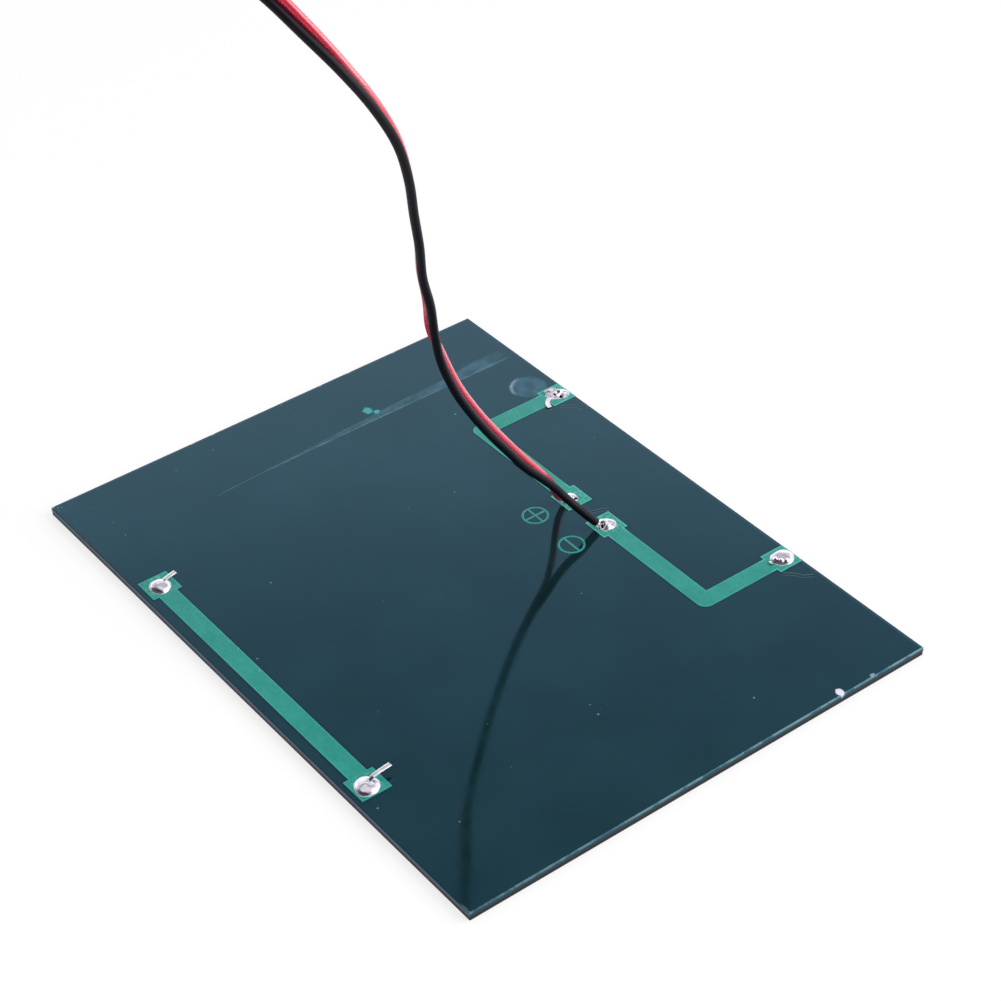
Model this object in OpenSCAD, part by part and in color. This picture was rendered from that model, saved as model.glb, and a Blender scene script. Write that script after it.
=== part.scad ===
// Small laminated solar panel, lying on its clear front with the circuit board on top.
// Two strings of cells are joined in series by the board's tracks, and a red and black
// twin lead is soldered to the board. X runs along the long side and Z points up.
// The origin is at the middle of the underside.

/* [Panel] */
// Length of the panel along X
panel_l = 115; // [90:1:140]
// Width of the panel along Y
panel_w = 85; // [72:1:110]
// Thickness of the circuit board
board_t = 0.8; // [0.6:0.1:1.6]
// Chamfer round the top edge of the board
edge_break = 0.1; // [0.05:0.05:0.3]
// Thickness of the clear layer that holds the cells
encapsulant_t = 0.5; // [0.45:0.05:0.8]
// Thickness of the clear front film
film_t = 0.2; // [0.1:0.05:0.4]

/* [Cells] */
// Number of cells in each of the two strings
cells_per_string = 6; // [4:1:8]
// Thickness of a cell
cell_t = 0.18; // [0.14:0.01:0.2]
// Gap between neighbouring cells of a string
cell_gap = 0.6; // [0.4:0.1:1.5]
// Gap between the two strings
string_gap = 5; // [2:0.5:8]
// Bare strip between the cells and the short edges, averaged over both ends
side_margin = 2.75; // [1.5:0.25:5]
// Bare strip between the end cells and the long edges
end_margin = 2; // [1.5:0.1:3]
// Sideways shift of the cells and tracks from the middle of the board
circuit_shift = -0.2; // [-1:0.1:1]
// Clear layer between the front film and the ribbons on the cells
front_skin = 0.05; // [0.02:0.01:0.06]

/* [Ribbons] */
// Width of the tinned ribbon
ribbon_w = 0.8; // [0.6:0.1:1.2]
// Thickness of the tinned ribbon
ribbon_t = 0.1; // [0.06:0.01:0.12]
// Length of cell left bare past the end of a ribbon
ribbon_inset = 1; // [0.5:0.1:3]
// Gap between a cell's edge and the ribbon that passes it
ribbon_clear = 0.1; // [0.05:0.05:0.2]
// Room round a ribbon in its slot through the board
slot_clear = 0.15; // [0.05:0.05:0.2]
// Height above its pad at which the first link ribbon leaves the solder
link_a_lift = 0.7; // [0.4:0.05:1.1]
// Height above its pad at which the second link ribbon leaves the solder
link_b_lift = 1; // [0.4:0.05:1.1]
// Run over which a link ribbon climbs through the solder
lift_run = 1.3; // [1:0.1:2]
// Further rise of a ribbon's free tail to its tip
tail_rise = 0.3; // [0.1:0.1:0.8]
// Length of the free tail at the first link pad
link_a_tail = 2.1; // [1:0.1:4]
// Length of the free tail at the second link pad
link_b_tail = 3.2; // [1:0.1:4]
// Length of the free tail at the negative bus pad
negative_tail = 0.8; // [0.5:0.1:4]
// Bend radius of the curled tail at the positive bus pad
curl_r = 2.6; // [1.5:0.1:3]
// Angle through which that tail is curled
curl_turn = 85; // [30:5:100]

/* [Tracks] */
// Width of the tracks
track_w = 3.25; // [2:0.25:4]
// Height of the tracks above the board
track_t = 0.07; // [0.04:0.01:0.1]
// Length of a link pad along X
link_pad_l = 5; // [4.2:0.1:6]
// Width of a link pad along Y
link_pad_w = 5.2; // [4.8:0.1:6]
// Bare strip between a link pad and the board's edge
pad_margin = 0.85; // [0.5:0.05:1]
// Length of a bus pad along X
bus_pad_l = 4.9; // [4.2:0.1:6]
// Width of a bus pad along Y
bus_pad_w = 4.6; // [4:0.1:5]
// Length of a wire pad along X
wire_pad_l = 4.9; // [3.5:0.1:6]
// Width of a wire pad along Y
wire_pad_w = 4.8; // [3.5:0.1:6]
// Distance of the wire pads from the board's middle line
wire_pad_y = 24.4; // [20:0.05:26]
// Place of the positive wire pad along X
plus_pad_x = -4.8; // [-7:0.1:-4]
// Place of the negative wire pad along X
minus_pad_x = 4.2; // [3:0.1:6]

/* [Solder] */
// Height of the solder on the ribbon pads
ribbon_solder_h = 0.8; // [0.5:0.1:1.2]
// Width of the solder on the first link pad
link_a_solder_d = 3.3; // [3:0.1:3.8]
// Width of the solder on the second link pad
link_b_solder_d = 3.7; // [3:0.1:4]
// Width of the solder on the positive bus pad
positive_solder_d = 3.4; // [3:0.1:3.8]
// Width of the solder on the negative bus pad
negative_solder_d = 3.6; // [3:0.1:3.8]
// Sideways offset of the solder from the middle of its link pad
link_solder_dx = 0.3; // [0:0.1:0.5]
// Offset of the solder on a bus pad towards the board's edge
bus_solder_dy = 0.25; // [0:0.05:0.3]
// Height of the solder on the wire pads
wire_solder_h = 0.9; // [0.7:0.1:1.2]
// Width of the solder on the positive wire pad
plus_solder_d = 2.7; // [2.4:0.1:3.2]
// Width of the solder on the negative wire pad
minus_solder_d = 3; // [2.4:0.1:3.4]
// Offset of the solder on the positive wire pad towards its lead
plus_solder_dy = 0.4; // [0.2:0.1:0.6]

/* [Leads] */
// Outer diameter of each insulated core
lead_d = 1.35; // [1:0.05:1.4]
// Gap between the two cores of the twin lead
core_gap = 0.1; // [0.05:0.05:0.3]
// Diameter of the tinned conductor
conductor_d = 0.6; // [0.4:0.05:0.7]
// Length of conductor that shows at the solder
stub_l = 1; // [0.8:0.1:1.1]
// Length of the stripped and tinned free ends
bare_end = 6; // [3:0.5:10]

/* [Hidden] */
$fn = 48;
STRINGS = ["a", "b"];
CELL_NAMES = [for (s = STRINGS) for (i = [1:cells_per_string]) str("cell_", s, i)];
TAB_NAMES = [for (s = STRINGS) for (i = [1:cells_per_string - 1]) str("tab_", s, i)];

// Heights from the underside
board_z = film_t + encapsulant_t;
top_z = board_z + board_t;
pad_z = top_z + track_t;
cell_z = film_t + front_skin + ribbon_t;
front_ribbon_z = cell_z - ribbon_t / 2;
back_ribbon_z = cell_z + cell_t + ribbon_t / 2;
pad_ribbon_z = pad_z + ribbon_t / 2;

// Cells and strings
cell_l = (panel_l - string_gap) / 2 - side_margin;
cell_end_y = panel_w / 2 - end_margin;
cell_w = (2 * cell_end_y - (cells_per_string - 1) * cell_gap) / cells_per_string;
string_a_x = circuit_shift - (cell_l + string_gap) / 2;
string_b_x = circuit_shift + (cell_l + string_gap) / 2;
slot_y = cell_end_y + ribbon_clear + ribbon_t / 2;

// Pads
link_y = -(panel_w / 2 - pad_margin - link_pad_w / 2);
bus_y = panel_w / 2 - edge_break - bus_pad_w / 2;
bus_solder_y = bus_y + bus_solder_dy;

// Twin lead
core_pitch = lead_d + core_gap;
lead_sides = 8;
// Fixed side direction from which the twist of the pair is measured
TWIST_FROM = [0.4, -0.9, 0];
// Middle of the pair, x, y, z and twist in degrees: up from the board in two slack bends,
// over in an arch and down to the surface that the panel lies on
LEAD_ROUTE = [
    [-0.7, 12.3, 17, -110], [-0.7, 8.9, 22, -110], [-0.2, 5.9, 26.5, -110], [0.8, 1.9, 33, -110],
    [1.9, -1.6, 39.5, -110], [2.4, -4.1, 46, -115], [3.4, -6.1, 52.5, -148], [4.5, -7.1, 58, -142],
    [5.5, -8.6, 64, -130], [6.7, -9.5, 70, -126], [7.7, -10.7, 76, -126], [8.4, -11.6, 82, -126],
    [8.5, -13, 88, -122], [7.3, -15.4, 94, -110], [5.1, -18.3, 99.5, -95], [1.5, -21.1, 104.5, -68],
    [-2.8, -23.7, 109, -48], [-8.8, -26.4, 112.5, -40], [-16.6, -29.3, 115, -45],
    [-26.3, -32.3, 115.5, -55], [-37.6, -36.3, 113, -65], [-48.5, -40.2, 107.5, -75],
    [-58.9, -43.7, 98, -80], [-68.3, -46.6, 85, -85], [-75.6, -49.1, 69, -90], [-80.3, -50.5, 52, -90],
    [-82.9, -51.5, 35, -90], [-84.5, -52, 19.5, -95], [-86, -52, 9.5, -100], [-90, -51, 2.5, -100],
    [-96, -48.5, 0.8, -95], [-102.5, -45.5, 0.8, -90]
];
// The two cores part near the board and run to their own pads, from the solder upwards
RED_SPLIT = [
    [-4.69, 22.78, 2.5], [-4.45, 21.68, 3.45], [-4.05, 20.74, 4.85], [-3.46, 19.85, 6.6],
    [-2.46, 18.51, 9.1], [-1.27, 16.32, 12.2]
];
BLACK_SPLIT = [
    [3.81, 22.69, 2.6], [3.31, 21.5, 4.1], [2.61, 20.11, 6], [1.51, 18.71, 8], [0.61, 17.12, 10.4],
    [0.31, 15.03, 13]
];

// Directions along and across a path
function unit(v) = v / norm(v);
function along(path, i) = unit(path[min(i + 1, len(path) - 1)] - path[max(i - 1, 0)]);
function across(t) = unit(cross(t, TWIST_FROM));
function reversed(list) = [for (i = [len(list) - 1:-1:0]) list[i]];

// Route of one core: its own split, then the pair's route offset to one side by the twist
PAIR_MIDDLE = [for (p = LEAD_ROUTE) [p.x, p.y, p.z]];
function core_point(i, side) =
    let (t = along(PAIR_MIDDLE, i), a = across(t), b = cross(a, t), twist = LEAD_ROUTE[i][3])
    PAIR_MIDDLE[i] + side * core_pitch / 2 * (cos(twist) * a + sin(twist) * b);
function core_path(split, side) =
    concat(split, [for (i = [0:len(LEAD_ROUTE) - 1]) core_point(i, side)]);
RED_PATH = core_path(RED_SPLIT, 1);
BLACK_PATH = core_path(BLACK_SPLIT, -1);

// Place of a cell's middle along Y; cell 1 is at the back edge
function row_y(i) = cell_end_y - cell_w / 2 - (i - 1) * (cell_w + cell_gap);
function string_x(s) = s == "a" ? string_a_x : string_b_x;

// One long side of a strip of ribbon whose middle follows a path, with mitred corners
function ribbon_side(path, side) = [
    for (i = [0:len(path) - 1])
        let (
            before = unit(path[max(i, 1)] - path[max(i, 1) - 1]),
            after = unit(path[min(i + 1, len(path) - 1)] - path[min(i, len(path) - 2)]),
            n1 = [-before.y, before.x],
            n2 = [-after.y, after.x]
        )
        path[i] + side * ribbon_t / 2 * (n1 + n2) / (1 + n1 * n2)
];

// Ribbon bent along a path of [y, z] points
module ribbon(x, path) {
    translate([x, 0, 0])
        rotate([90, 0, 90])
            linear_extrude(height = ribbon_w, center = true)
                polygon(concat(ribbon_side(path, 1), reversed(ribbon_side(path, -1))));
}

// Bent part of an end ribbon: along the cell, up through the board and over its pad.
// The end is 1 at the back edge and -1 at the front edge
function end_ribbon(end, run_z, knee_y) = [
    [end * (cell_end_y - cell_w + ribbon_inset), run_z],
    [end * slot_y, run_z],
    [end * slot_y, pad_ribbon_z],
    [knee_y, pad_ribbon_z]
];
// Free tail that goes on from a knee at the pad, or from the top of the solder at a link pad
function tail(end, knee_y, length) = [[knee_y - end * length, pad_ribbon_z + tail_rise]];
function lifted_tail(lift, length) = [
    [link_y - lift_run / 4 + lift_run, pad_ribbon_z + lift],
    [link_y - lift_run / 4 + lift_run + length, pad_ribbon_z + lift + tail_rise]
];

module slab(z, h) {
    translate([-panel_l / 2, -panel_w / 2, z]) cube([panel_l, panel_w, h]);
}

// Outline of a slab seen along one side, with its top corners chamfered
module chamfered_side(length) {
    polygon([
        [-length / 2, 0], [length / 2, 0], [length / 2, board_t - edge_break],
        [length / 2 - edge_break, board_t], [edge_break - length / 2, board_t],
        [-length / 2, board_t - edge_break]
    ]);
}

module ribbon_slots() {
    for (x = [string_a_x, string_b_x])
        for (y = [slot_y, -slot_y])
            translate([x, y])
                square([ribbon_w + 2 * slot_clear, ribbon_t + 2 * slot_clear], center = true);
}

module circuit_board() {
    color([0.15, 0.27, 0.32])
        difference() {
            translate([0, 0, board_z])
                intersection() {
                    rotate([90, 0, 0])
                        linear_extrude(height = panel_w, center = true) chamfered_side(panel_l);
                    rotate([90, 0, 90])
                        linear_extrude(height = panel_l, center = true) chamfered_side(panel_w);
                }
            translate([0, 0, board_z - board_t])
                linear_extrude(height = 3 * board_t) ribbon_slots();
        }
}

// Straight piece of track between two points on a line along X or Y
module track_run(p, q) {
    translate((p + q) / 2)
        square([
            abs(p.x - q.x) + (p.x == q.x ? track_w : 0),
            abs(p.y - q.y) + (p.y == q.y ? track_w : 0)
        ], center = true);
}

module pad(at, l, w) {
    translate(at) square([l, w], center = true);
}

// Copper under the board's coating, with the ribbon slots cut through it
module track() {
    color([0.23, 0.61, 0.56])
        translate([0, 0, top_z])
            linear_extrude(height = track_t)
                difference() {
                    children();
                    ribbon_slots();
                }
}

module link_track() {
    ends = [[string_a_x, link_y], [string_b_x, link_y]];
    track() {
        union() {
            track_run(ends[0], ends[1]);
            for (at = ends) pad(at, link_pad_l, link_pad_w);
        }
    }
}

// Track from a bus pad at the back edge, round a corner to a wire pad
module terminal_track(bus_x, wire_x) {
    corner = [bus_x, wire_pad_y];
    track() {
        union() {
            pad([bus_x, bus_y], bus_pad_l, bus_pad_w);
            track_run([bus_x, bus_y], corner);
            translate(corner) circle(d = track_w);
            track_run(corner, [wire_x, wire_pad_y]);
            pad([wire_x, wire_pad_y], wire_pad_l, wire_pad_w);
        }
    }
}

module positive_track() {
    terminal_track(string_a_x, plus_pad_x);
}

module negative_track() {
    terminal_track(string_b_x, minus_pad_x);
}

module cell(s, i) {
    color([0.08, 0.1, 0.22])
        translate([string_x(s) - cell_l / 2, row_y(i) - cell_w / 2, cell_z])
            cube([cell_l, cell_w, cell_t]);
}

// Ribbon from the front of one cell to the back of the next; string b runs the other way
module tab(s, i) {
    way = s == "a" ? 1 : -1;
    gap_y = (row_y(i) + row_y(i + 1)) / 2;
    reach = cell_gap / 2 + cell_w - ribbon_inset;
    color([0.78, 0.78, 0.8])
        ribbon(string_x(s), [
            [gap_y + way * reach, front_ribbon_z], [gap_y, front_ribbon_z],
            [gap_y, back_ribbon_z], [gap_y - way * reach, back_ribbon_z]
        ]);
}

module ribbon_link_a() {
    color([0.82, 0.82, 0.84])
        ribbon(string_a_x, concat(
            end_ribbon(-1, front_ribbon_z, link_y - lift_run / 4), lifted_tail(link_a_lift, link_a_tail)
        ));
}

module ribbon_link_b() {
    color([0.82, 0.82, 0.84])
        ribbon(string_b_x, concat(
            end_ribbon(-1, back_ribbon_z, link_y - lift_run / 4), lifted_tail(link_b_lift, link_b_tail)
        ));
}

module ribbon_negative() {
    knee_y = bus_solder_y - negative_solder_d / 2;
    color([0.82, 0.82, 0.84])
        ribbon(string_b_x, concat(end_ribbon(1, front_ribbon_z, knee_y), tail(1, knee_y, negative_tail)));
}

// Its tail is curled sideways, flat over the board, and starts inside the solder
module ribbon_positive() {
    knee_y = bus_solder_y - positive_solder_d / 4;
    color([0.82, 0.82, 0.84])
        union() {
            ribbon(string_a_x, end_ribbon(1, back_ribbon_z, knee_y));
            translate([string_a_x + curl_r, knee_y, pad_z])
                rotate([0, 0, 180])
                    rotate_extrude(angle = curl_turn)
                        translate([curl_r - ribbon_w / 2, 0]) square([ribbon_w, ribbon_t]);
        }
}

// Rounded cap of solder on a pad, steep at its foot and flat on top
module solder_cap(at, d, h) {
    steps = 8;
    fullness = 2.4;
    color([0.8, 0.8, 0.82])
        translate([at.x, at.y, pad_z])
            rotate_extrude()
                polygon(concat(
                    [[0, 0]],
                    [for (k = [0:steps])
                        let (r = cos(90 * k / steps))
                        [r * d / 2, h * (1 - r ^ fullness) ^ (1 / fullness)]]
                ));
}

module solder_link_a() {
    difference() {
        solder_cap([string_a_x + link_solder_dx, link_y], link_a_solder_d, ribbon_solder_h);
        ribbon_link_a();
    }
}

module solder_link_b() {
    difference() {
        solder_cap([string_b_x + link_solder_dx, link_y], link_b_solder_d, ribbon_solder_h);
        ribbon_link_b();
    }
}

module solder_positive() {
    difference() {
        solder_cap([string_a_x, bus_solder_y], positive_solder_d, ribbon_solder_h);
        ribbon_positive();
    }
}

module solder_negative() {
    difference() {
        solder_cap([string_b_x, bus_solder_y], negative_solder_d, ribbon_solder_h);
        ribbon_negative();
    }
}

module solder_plus_wire() {
    difference() {
        solder_cap([plus_pad_x, wire_pad_y - plus_solder_dy], plus_solder_d, wire_solder_h);
        red_stub();
    }
}

module solder_minus_wire() {
    difference() {
        solder_cap([minus_pad_x, wire_pad_y], minus_solder_d, wire_solder_h);
        black_stub();
    }
}

module all_cells() {
    for (s = STRINGS)
        for (i = [1:cells_per_string])
            cell(s, i);
}

module all_tabs() {
    for (s = STRINGS)
        for (i = [1:cells_per_string - 1])
            tab(s, i);
}

// Clear layer, cast round the cells and ribbons
module encapsulant() {
    color([0.85, 0.88, 0.9, 0.4])
        difference() {
            slab(film_t, encapsulant_t);
            all_cells();
            all_tabs();
            ribbon_link_a();
            ribbon_link_b();
            ribbon_positive();
            ribbon_negative();
        }
}

module front_film() {
    color([0.9, 0.93, 0.95, 0.4]) slab(0, film_t);
}

// Straight length of tinned conductor from a point in a direction
module conductor(from, way, length) {
    pitch = acos(way.z);
    heading = atan2(way.y, way.x);
    color([0.8, 0.8, 0.82])
        translate(from)
            rotate([0, pitch, heading])
                cylinder(d = conductor_d, h = length);
}

module red_stub() {
    conductor(RED_PATH[0], -along(RED_PATH, 0), stub_l);
}

module black_stub() {
    conductor(BLACK_PATH[0], -along(BLACK_PATH, 0), stub_l);
}

// Tube swept along a path: one ring of points at each place of the path
module lead(path) {
    last = len(path) - 1;
    rings = [
        for (i = [0:last])
            let (t = along(path, i), a = across(t), b = cross(a, t))
            for (k = [0:lead_sides - 1])
                let (turn = 360 * k / lead_sides)
                path[i] + lead_d / 2 * (cos(turn) * a + sin(turn) * b)
    ];
    walls = [
        for (i = [0:last - 1])
            for (k = [0:lead_sides - 1])
                let (next = (k + 1) % lead_sides, here = i * lead_sides)
                [here + k, here + next, here + lead_sides + next, here + lead_sides + k]
    ];
    near_end = [for (k = [lead_sides - 1:-1:0]) k];
    far_end = [for (k = [0:lead_sides - 1]) last * lead_sides + k];
    polyhedron(points = rings, faces = concat(walls, [near_end, far_end]), convexity = 10);
}

module red_lead() {
    color([0.8, 0.1, 0.14]) lead(RED_PATH);
}

module black_lead() {
    color([0.09, 0.08, 0.1]) lead(BLACK_PATH);
}

module red_bare_end() {
    conductor(RED_PATH[len(RED_PATH) - 1], along(RED_PATH, len(RED_PATH) - 1), bare_end);
}

module black_bare_end() {
    conductor(BLACK_PATH[len(BLACK_PATH) - 1], along(BLACK_PATH, len(BLACK_PATH) - 1), bare_end);
}

circuit_board();
link_track();
positive_track();
negative_track();
encapsulant();
front_film();
for (s = STRINGS) {
    for (i = [1:cells_per_string]) cell(s, i);
    for (i = [1:cells_per_string - 1]) tab(s, i);
}
ribbon_link_a();
ribbon_link_b();
ribbon_positive();
ribbon_negative();
solder_link_a();
solder_link_b();
solder_positive();
solder_negative();
solder_plus_wire();
solder_minus_wire();
red_stub();
black_stub();
red_lead();
black_lead();
red_bare_end();
black_bare_end();
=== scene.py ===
"""Looks of a small laminated solar panel that lies on its clear front.

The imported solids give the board, tracks, cells and tabs. The twin lead, the solder, the bent ribbons,
the polarity signs and the clear layers are surfaces worked out here, in millimetres, in the same frame.
"""

import logging
import math
from dataclasses import dataclass
from enum import Enum
from functools import reduce
from typing import Any, Sequence, Union

import bpy
import numpy as np
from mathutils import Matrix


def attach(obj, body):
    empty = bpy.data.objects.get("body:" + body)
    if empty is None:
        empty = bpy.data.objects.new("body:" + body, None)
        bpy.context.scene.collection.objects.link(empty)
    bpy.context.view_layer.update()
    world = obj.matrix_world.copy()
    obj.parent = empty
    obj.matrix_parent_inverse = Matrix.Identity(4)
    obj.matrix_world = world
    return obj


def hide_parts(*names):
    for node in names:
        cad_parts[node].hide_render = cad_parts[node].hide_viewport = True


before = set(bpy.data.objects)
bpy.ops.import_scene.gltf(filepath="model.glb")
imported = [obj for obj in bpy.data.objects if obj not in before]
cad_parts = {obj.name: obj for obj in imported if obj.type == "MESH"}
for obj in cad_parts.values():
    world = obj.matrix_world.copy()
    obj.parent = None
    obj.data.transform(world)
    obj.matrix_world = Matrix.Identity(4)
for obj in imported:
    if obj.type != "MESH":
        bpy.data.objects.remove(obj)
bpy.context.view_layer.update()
LOG = logging.getLogger("solar_panel")
MM = 0.001
ROOT = "root"
ORIGIN = (0.0, 0.0, 0.0)

# Sizes shared with the solids, in millimetres
PANEL_L, PANEL_W = 115.0, 85.0
RIGHT_X, BACK_Y = PANEL_L / 2, PANEL_W / 2
FILM_T, CLEAR_T, BOARD_T, TRACK_T = 0.2, 0.5, 0.8, 0.07
BOARD_Z = FILM_T + CLEAR_T
TOP_Z = BOARD_Z + BOARD_T
PAD_Z = TOP_Z + TRACK_T
STRING_A_X, STRING_B_X = -28.825, 28.425
LINK_Y, BUS_Y, BUS_SOLDER_Y, WIRE_PAD_Y = -39.05, 40.1, 40.35, 24.4
PLUS_PAD_X, MINUS_PAD_X = -4.8, 4.2
TRACK_W = 3.25
# Half sizes of the pads along X and Y
LINK_PAD, BUS_PAD, WIRE_PAD = (2.5, 2.6), (2.45, 2.3), (2.45, 2.4)
RIBBON_W, RIBBON_T = 0.8, 0.1
SLOT_Y, RIBBON_END_Y = 40.65, 28.5
FRONT_RIBBON_Z, BACK_RIBBON_Z, PAD_RIBBON_Z = 0.3, 0.58, PAD_Z + RIBBON_T / 2
# Plates of the tracks: middle and half sizes along X and Y
COPPER_PLATES = (
    ((STRING_A_X + STRING_B_X) / 2, LINK_Y, (STRING_B_X - STRING_A_X) / 2, TRACK_W / 2),
    (STRING_A_X, LINK_Y, *LINK_PAD),
    (STRING_B_X, LINK_Y, *LINK_PAD),
    *(
        plate
        for string_x, pad_x in ((STRING_A_X, PLUS_PAD_X), (STRING_B_X, MINUS_PAD_X))
        for plate in (
            (string_x, BUS_Y, *BUS_PAD),
            (string_x, (BUS_Y + WIRE_PAD_Y) / 2, TRACK_W / 2, (BUS_Y - WIRE_PAD_Y) / 2),
            ((string_x + pad_x) / 2, WIRE_PAD_Y, abs(string_x - pad_x) / 2, TRACK_W / 2),
            (pad_x, WIRE_PAD_Y, *WIRE_PAD),
        )
    ),
)
# Steps that never fall into a rhythm
GOLDEN_ANGLE, GOLDEN_SHARE, PLASTIC_SHARE = 2.399963, 0.618034, 0.754878

Socket = bpy.types.NodeSocket
Value = Union[Socket, float, Sequence[float]]
Color = tuple[float, float, float, float]


def srgb(red: float, green: float, blue: float) -> Color:
    """Linear colour of a display colour.

    Args:
        red: red of the display colour, 0 to 255.
        green: green of the display colour, 0 to 255.
        blue: blue of the display colour, 0 to 255.

    Returns:
        The linear red, green, blue and an alpha of 1.
    """
    share = np.array([red, green, blue]) / 255.0
    linear = np.where(share <= 0.04045, share / 12.92, ((share + 0.055) / 1.055) ** 2.4)
    return (float(linear[0]), float(linear[1]), float(linear[2]), 1.0)


# Surfaces


@dataclass
class Grid:
    """Rings of points, each ring joined round to its start, with a pole that closes each end.

    Attributes:
        points: rings by points by 3, in millimetres.
        start: pole before the first ring, or None for the ring's own middle.
    """

    points: np.ndarray
    start: np.ndarray | None = None

    def vertices(self) -> np.ndarray:
        """All points in a row, then the two poles."""
        first = self.points[0].mean(0) if self.start is None else self.start
        return np.vstack([self.points.reshape(-1, 3), first, self.points[-1].mean(0)])

    def places(self) -> np.ndarray:
        """Place round and along the rings for each vertex, both 0 to 1.

        Returns:
            The places, n by 2.
        """
        rings, count = self.points.shape[:2]
        along = np.concatenate([np.repeat(np.arange(rings), count), [0, rings - 1]]) / max(rings - 1, 1)
        around = np.concatenate([np.tile(np.arange(count), rings), [0, 0]]) / count
        return np.stack([around, along], axis=1)

    def faces(self) -> tuple[np.ndarray, np.ndarray]:
        """Corners of the faces, turned so that they enclose a positive volume.

        Returns:
            The quads between neighbouring rings, and the triangles from the end rings to the poles.
        """
        rings, count = self.points.shape[:2]
        here = np.arange(rings * count).reshape(rings, count)
        following = np.roll(here, -1, axis=1)
        quads = np.stack([here[:-1], following[:-1], following[1:], here[1:]], axis=-1).reshape(-1, 4)
        first, last = rings * count, rings * count + 1
        low = np.stack([following[0], here[0], np.full(count, first)], axis=-1)
        high = np.stack([here[-1], following[-1], np.full(count, last)], axis=-1)
        triangles = np.vstack([low, high])
        corners = self.vertices()
        pieces = np.vstack([quads[:, [0, 1, 2]], quads[:, [0, 2, 3]], triangles])
        a, b, c = (corners[pieces[:, k]] for k in range(3))
        if np.einsum("ij,ij->i", a, np.cross(b, c)).sum() < 0:
            quads, triangles = quads[:, ::-1], triangles[:, ::-1]
        return quads, triangles


def mesh_object(name: str, grids: Sequence[Grid], sharp_deg: float) -> bpy.types.Object:
    """One object from closed grids, at the origin, with a UV map of the places round and along them.

    Args:
        name: name of the object and its mesh.
        grids: the closed surfaces that it is made of.
        sharp_deg: edges steeper than this stay sharp.

    Returns:
        The new object, linked to the scene and riding on the root body.
    """
    vertices = [grid.vertices() for grid in grids]
    offsets = np.cumsum([0, *(len(points) for points in vertices)])
    faces = [
        face
        for grid, offset in zip(grids, offsets)
        for corners in grid.faces()
        for face in (corners + offset).tolist()
    ]
    mesh = bpy.data.meshes.new(name)
    mesh.from_pydata((np.vstack(vertices) * MM).tolist(), [], faces)
    layer = mesh.uv_layers.new(name="UVMap")
    corners = np.zeros(len(mesh.loops), np.int32)
    mesh.loops.foreach_get("vertex_index", corners)
    places = np.vstack([grid.places() for grid in grids])
    layer.data.foreach_set("uv", places[corners].astype(np.float32).ravel())
    mesh.polygons.foreach_set("use_smooth", np.full(len(mesh.polygons), True))
    mesh.update()
    mesh.set_sharp_from_angle(angle=math.radians(sharp_deg))
    made = bpy.data.objects.new(name, mesh)
    bpy.context.scene.collection.objects.link(made)
    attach(made, ROOT)
    return made


def unit(rows: np.ndarray) -> np.ndarray:
    """Vectors made one long, or left at nought."""
    return rows / np.maximum(np.linalg.norm(rows, axis=-1, keepdims=True), 1e-6)


def whole_turn(count: int) -> np.ndarray:
    """Angles of a whole turn in even steps."""
    return np.linspace(0, 2 * np.pi, count, endpoint=False)


def reach_along(path: np.ndarray) -> np.ndarray:
    """Length along a path from its start to each of its points."""
    return np.concatenate([[0], np.cumsum(np.linalg.norm(np.diff(path, axis=0), axis=1))])


def points_at(path: np.ndarray, wanted: np.ndarray) -> np.ndarray:
    """Points of a path at wanted lengths along it."""
    return np.stack([np.interp(wanted, reach_along(path), path[:, k]) for k in range(3)], axis=1)


def directions(curve: np.ndarray) -> np.ndarray:
    """Unit direction along a curve at each of its points."""
    return unit(np.gradient(curve, axis=0))


def level_across(along: np.ndarray) -> np.ndarray:
    """Level unit direction square to each direction, on its left as seen from above."""
    return unit(np.stack([-along[:, 1], along[:, 0], np.zeros(len(along))], axis=1))


def smooth_curve(points: np.ndarray, steps: int) -> np.ndarray:
    """Smooth curve through points: cubic spans whose slopes weigh the two neighbouring chords by length.

    Args:
        points: the points, n by 3.
        steps: parts into which each span is cut.

    Returns:
        The points of the curve, (n - 1) * steps + 1 by 3.
    """
    chords = np.diff(points, axis=0)
    lengths = np.linalg.norm(chords, axis=1)[:, None]
    rates = chords / lengths
    inner = (rates[:-1] * lengths[1:] + rates[1:] * lengths[:-1]) / (lengths[:-1] + lengths[1:])
    slopes = np.vstack([rates[:1], inner, rates[-1:]])
    s = np.linspace(0, 1, steps, endpoint=False)[None, :, None]
    start, end = points[:-1, None], points[1:, None]
    leave, arrive = slopes[:-1, None] * lengths[:, None], slopes[1:, None] * lengths[:, None]
    spans = (
        start * (1 - 3 * s**2 + 2 * s**3)
        + end * (3 * s**2 - 2 * s**3)
        + leave * (s - 2 * s**2 + s**3)
        + arrive * (s**3 - s**2)
    )
    return np.vstack([spans.reshape(-1, 3), points[-1:]])


def side_axes(along: np.ndarray, reference: Sequence[float]) -> tuple[np.ndarray, np.ndarray]:
    """Two axes square to each direction and to each other, the first one square to a reference.

    Args:
        along: unit directions, n by 3.
        reference: a direction that no part of the curve is parallel to.

    Returns:
        The first and second axes, each n by 3.
    """
    first = unit(np.cross(along, np.array(reference)))
    return first, np.cross(first, along)


def swept(
    curve: np.ndarray, reference: Sequence[float], radii: np.ndarray, angles: np.ndarray
) -> np.ndarray:
    """Profile carried along a curve: each ring is its point plus a radius at an angle in the side axes.

    Args:
        curve: points of the middle line, n by 3.
        reference: direction from which the side axes are taken.
        radii: radius of each ring at each angle, n by m.
        angles: angle of each point of each ring, n by m or 1 by m.

    Returns:
        The rings, n by m by 3.
    """
    first, second = side_axes(directions(curve), reference)
    spread = np.cos(angles)[..., None] * first[:, None] + np.sin(angles)[..., None] * second[:, None]
    return curve[:, None] + radii[..., None] * spread


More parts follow.
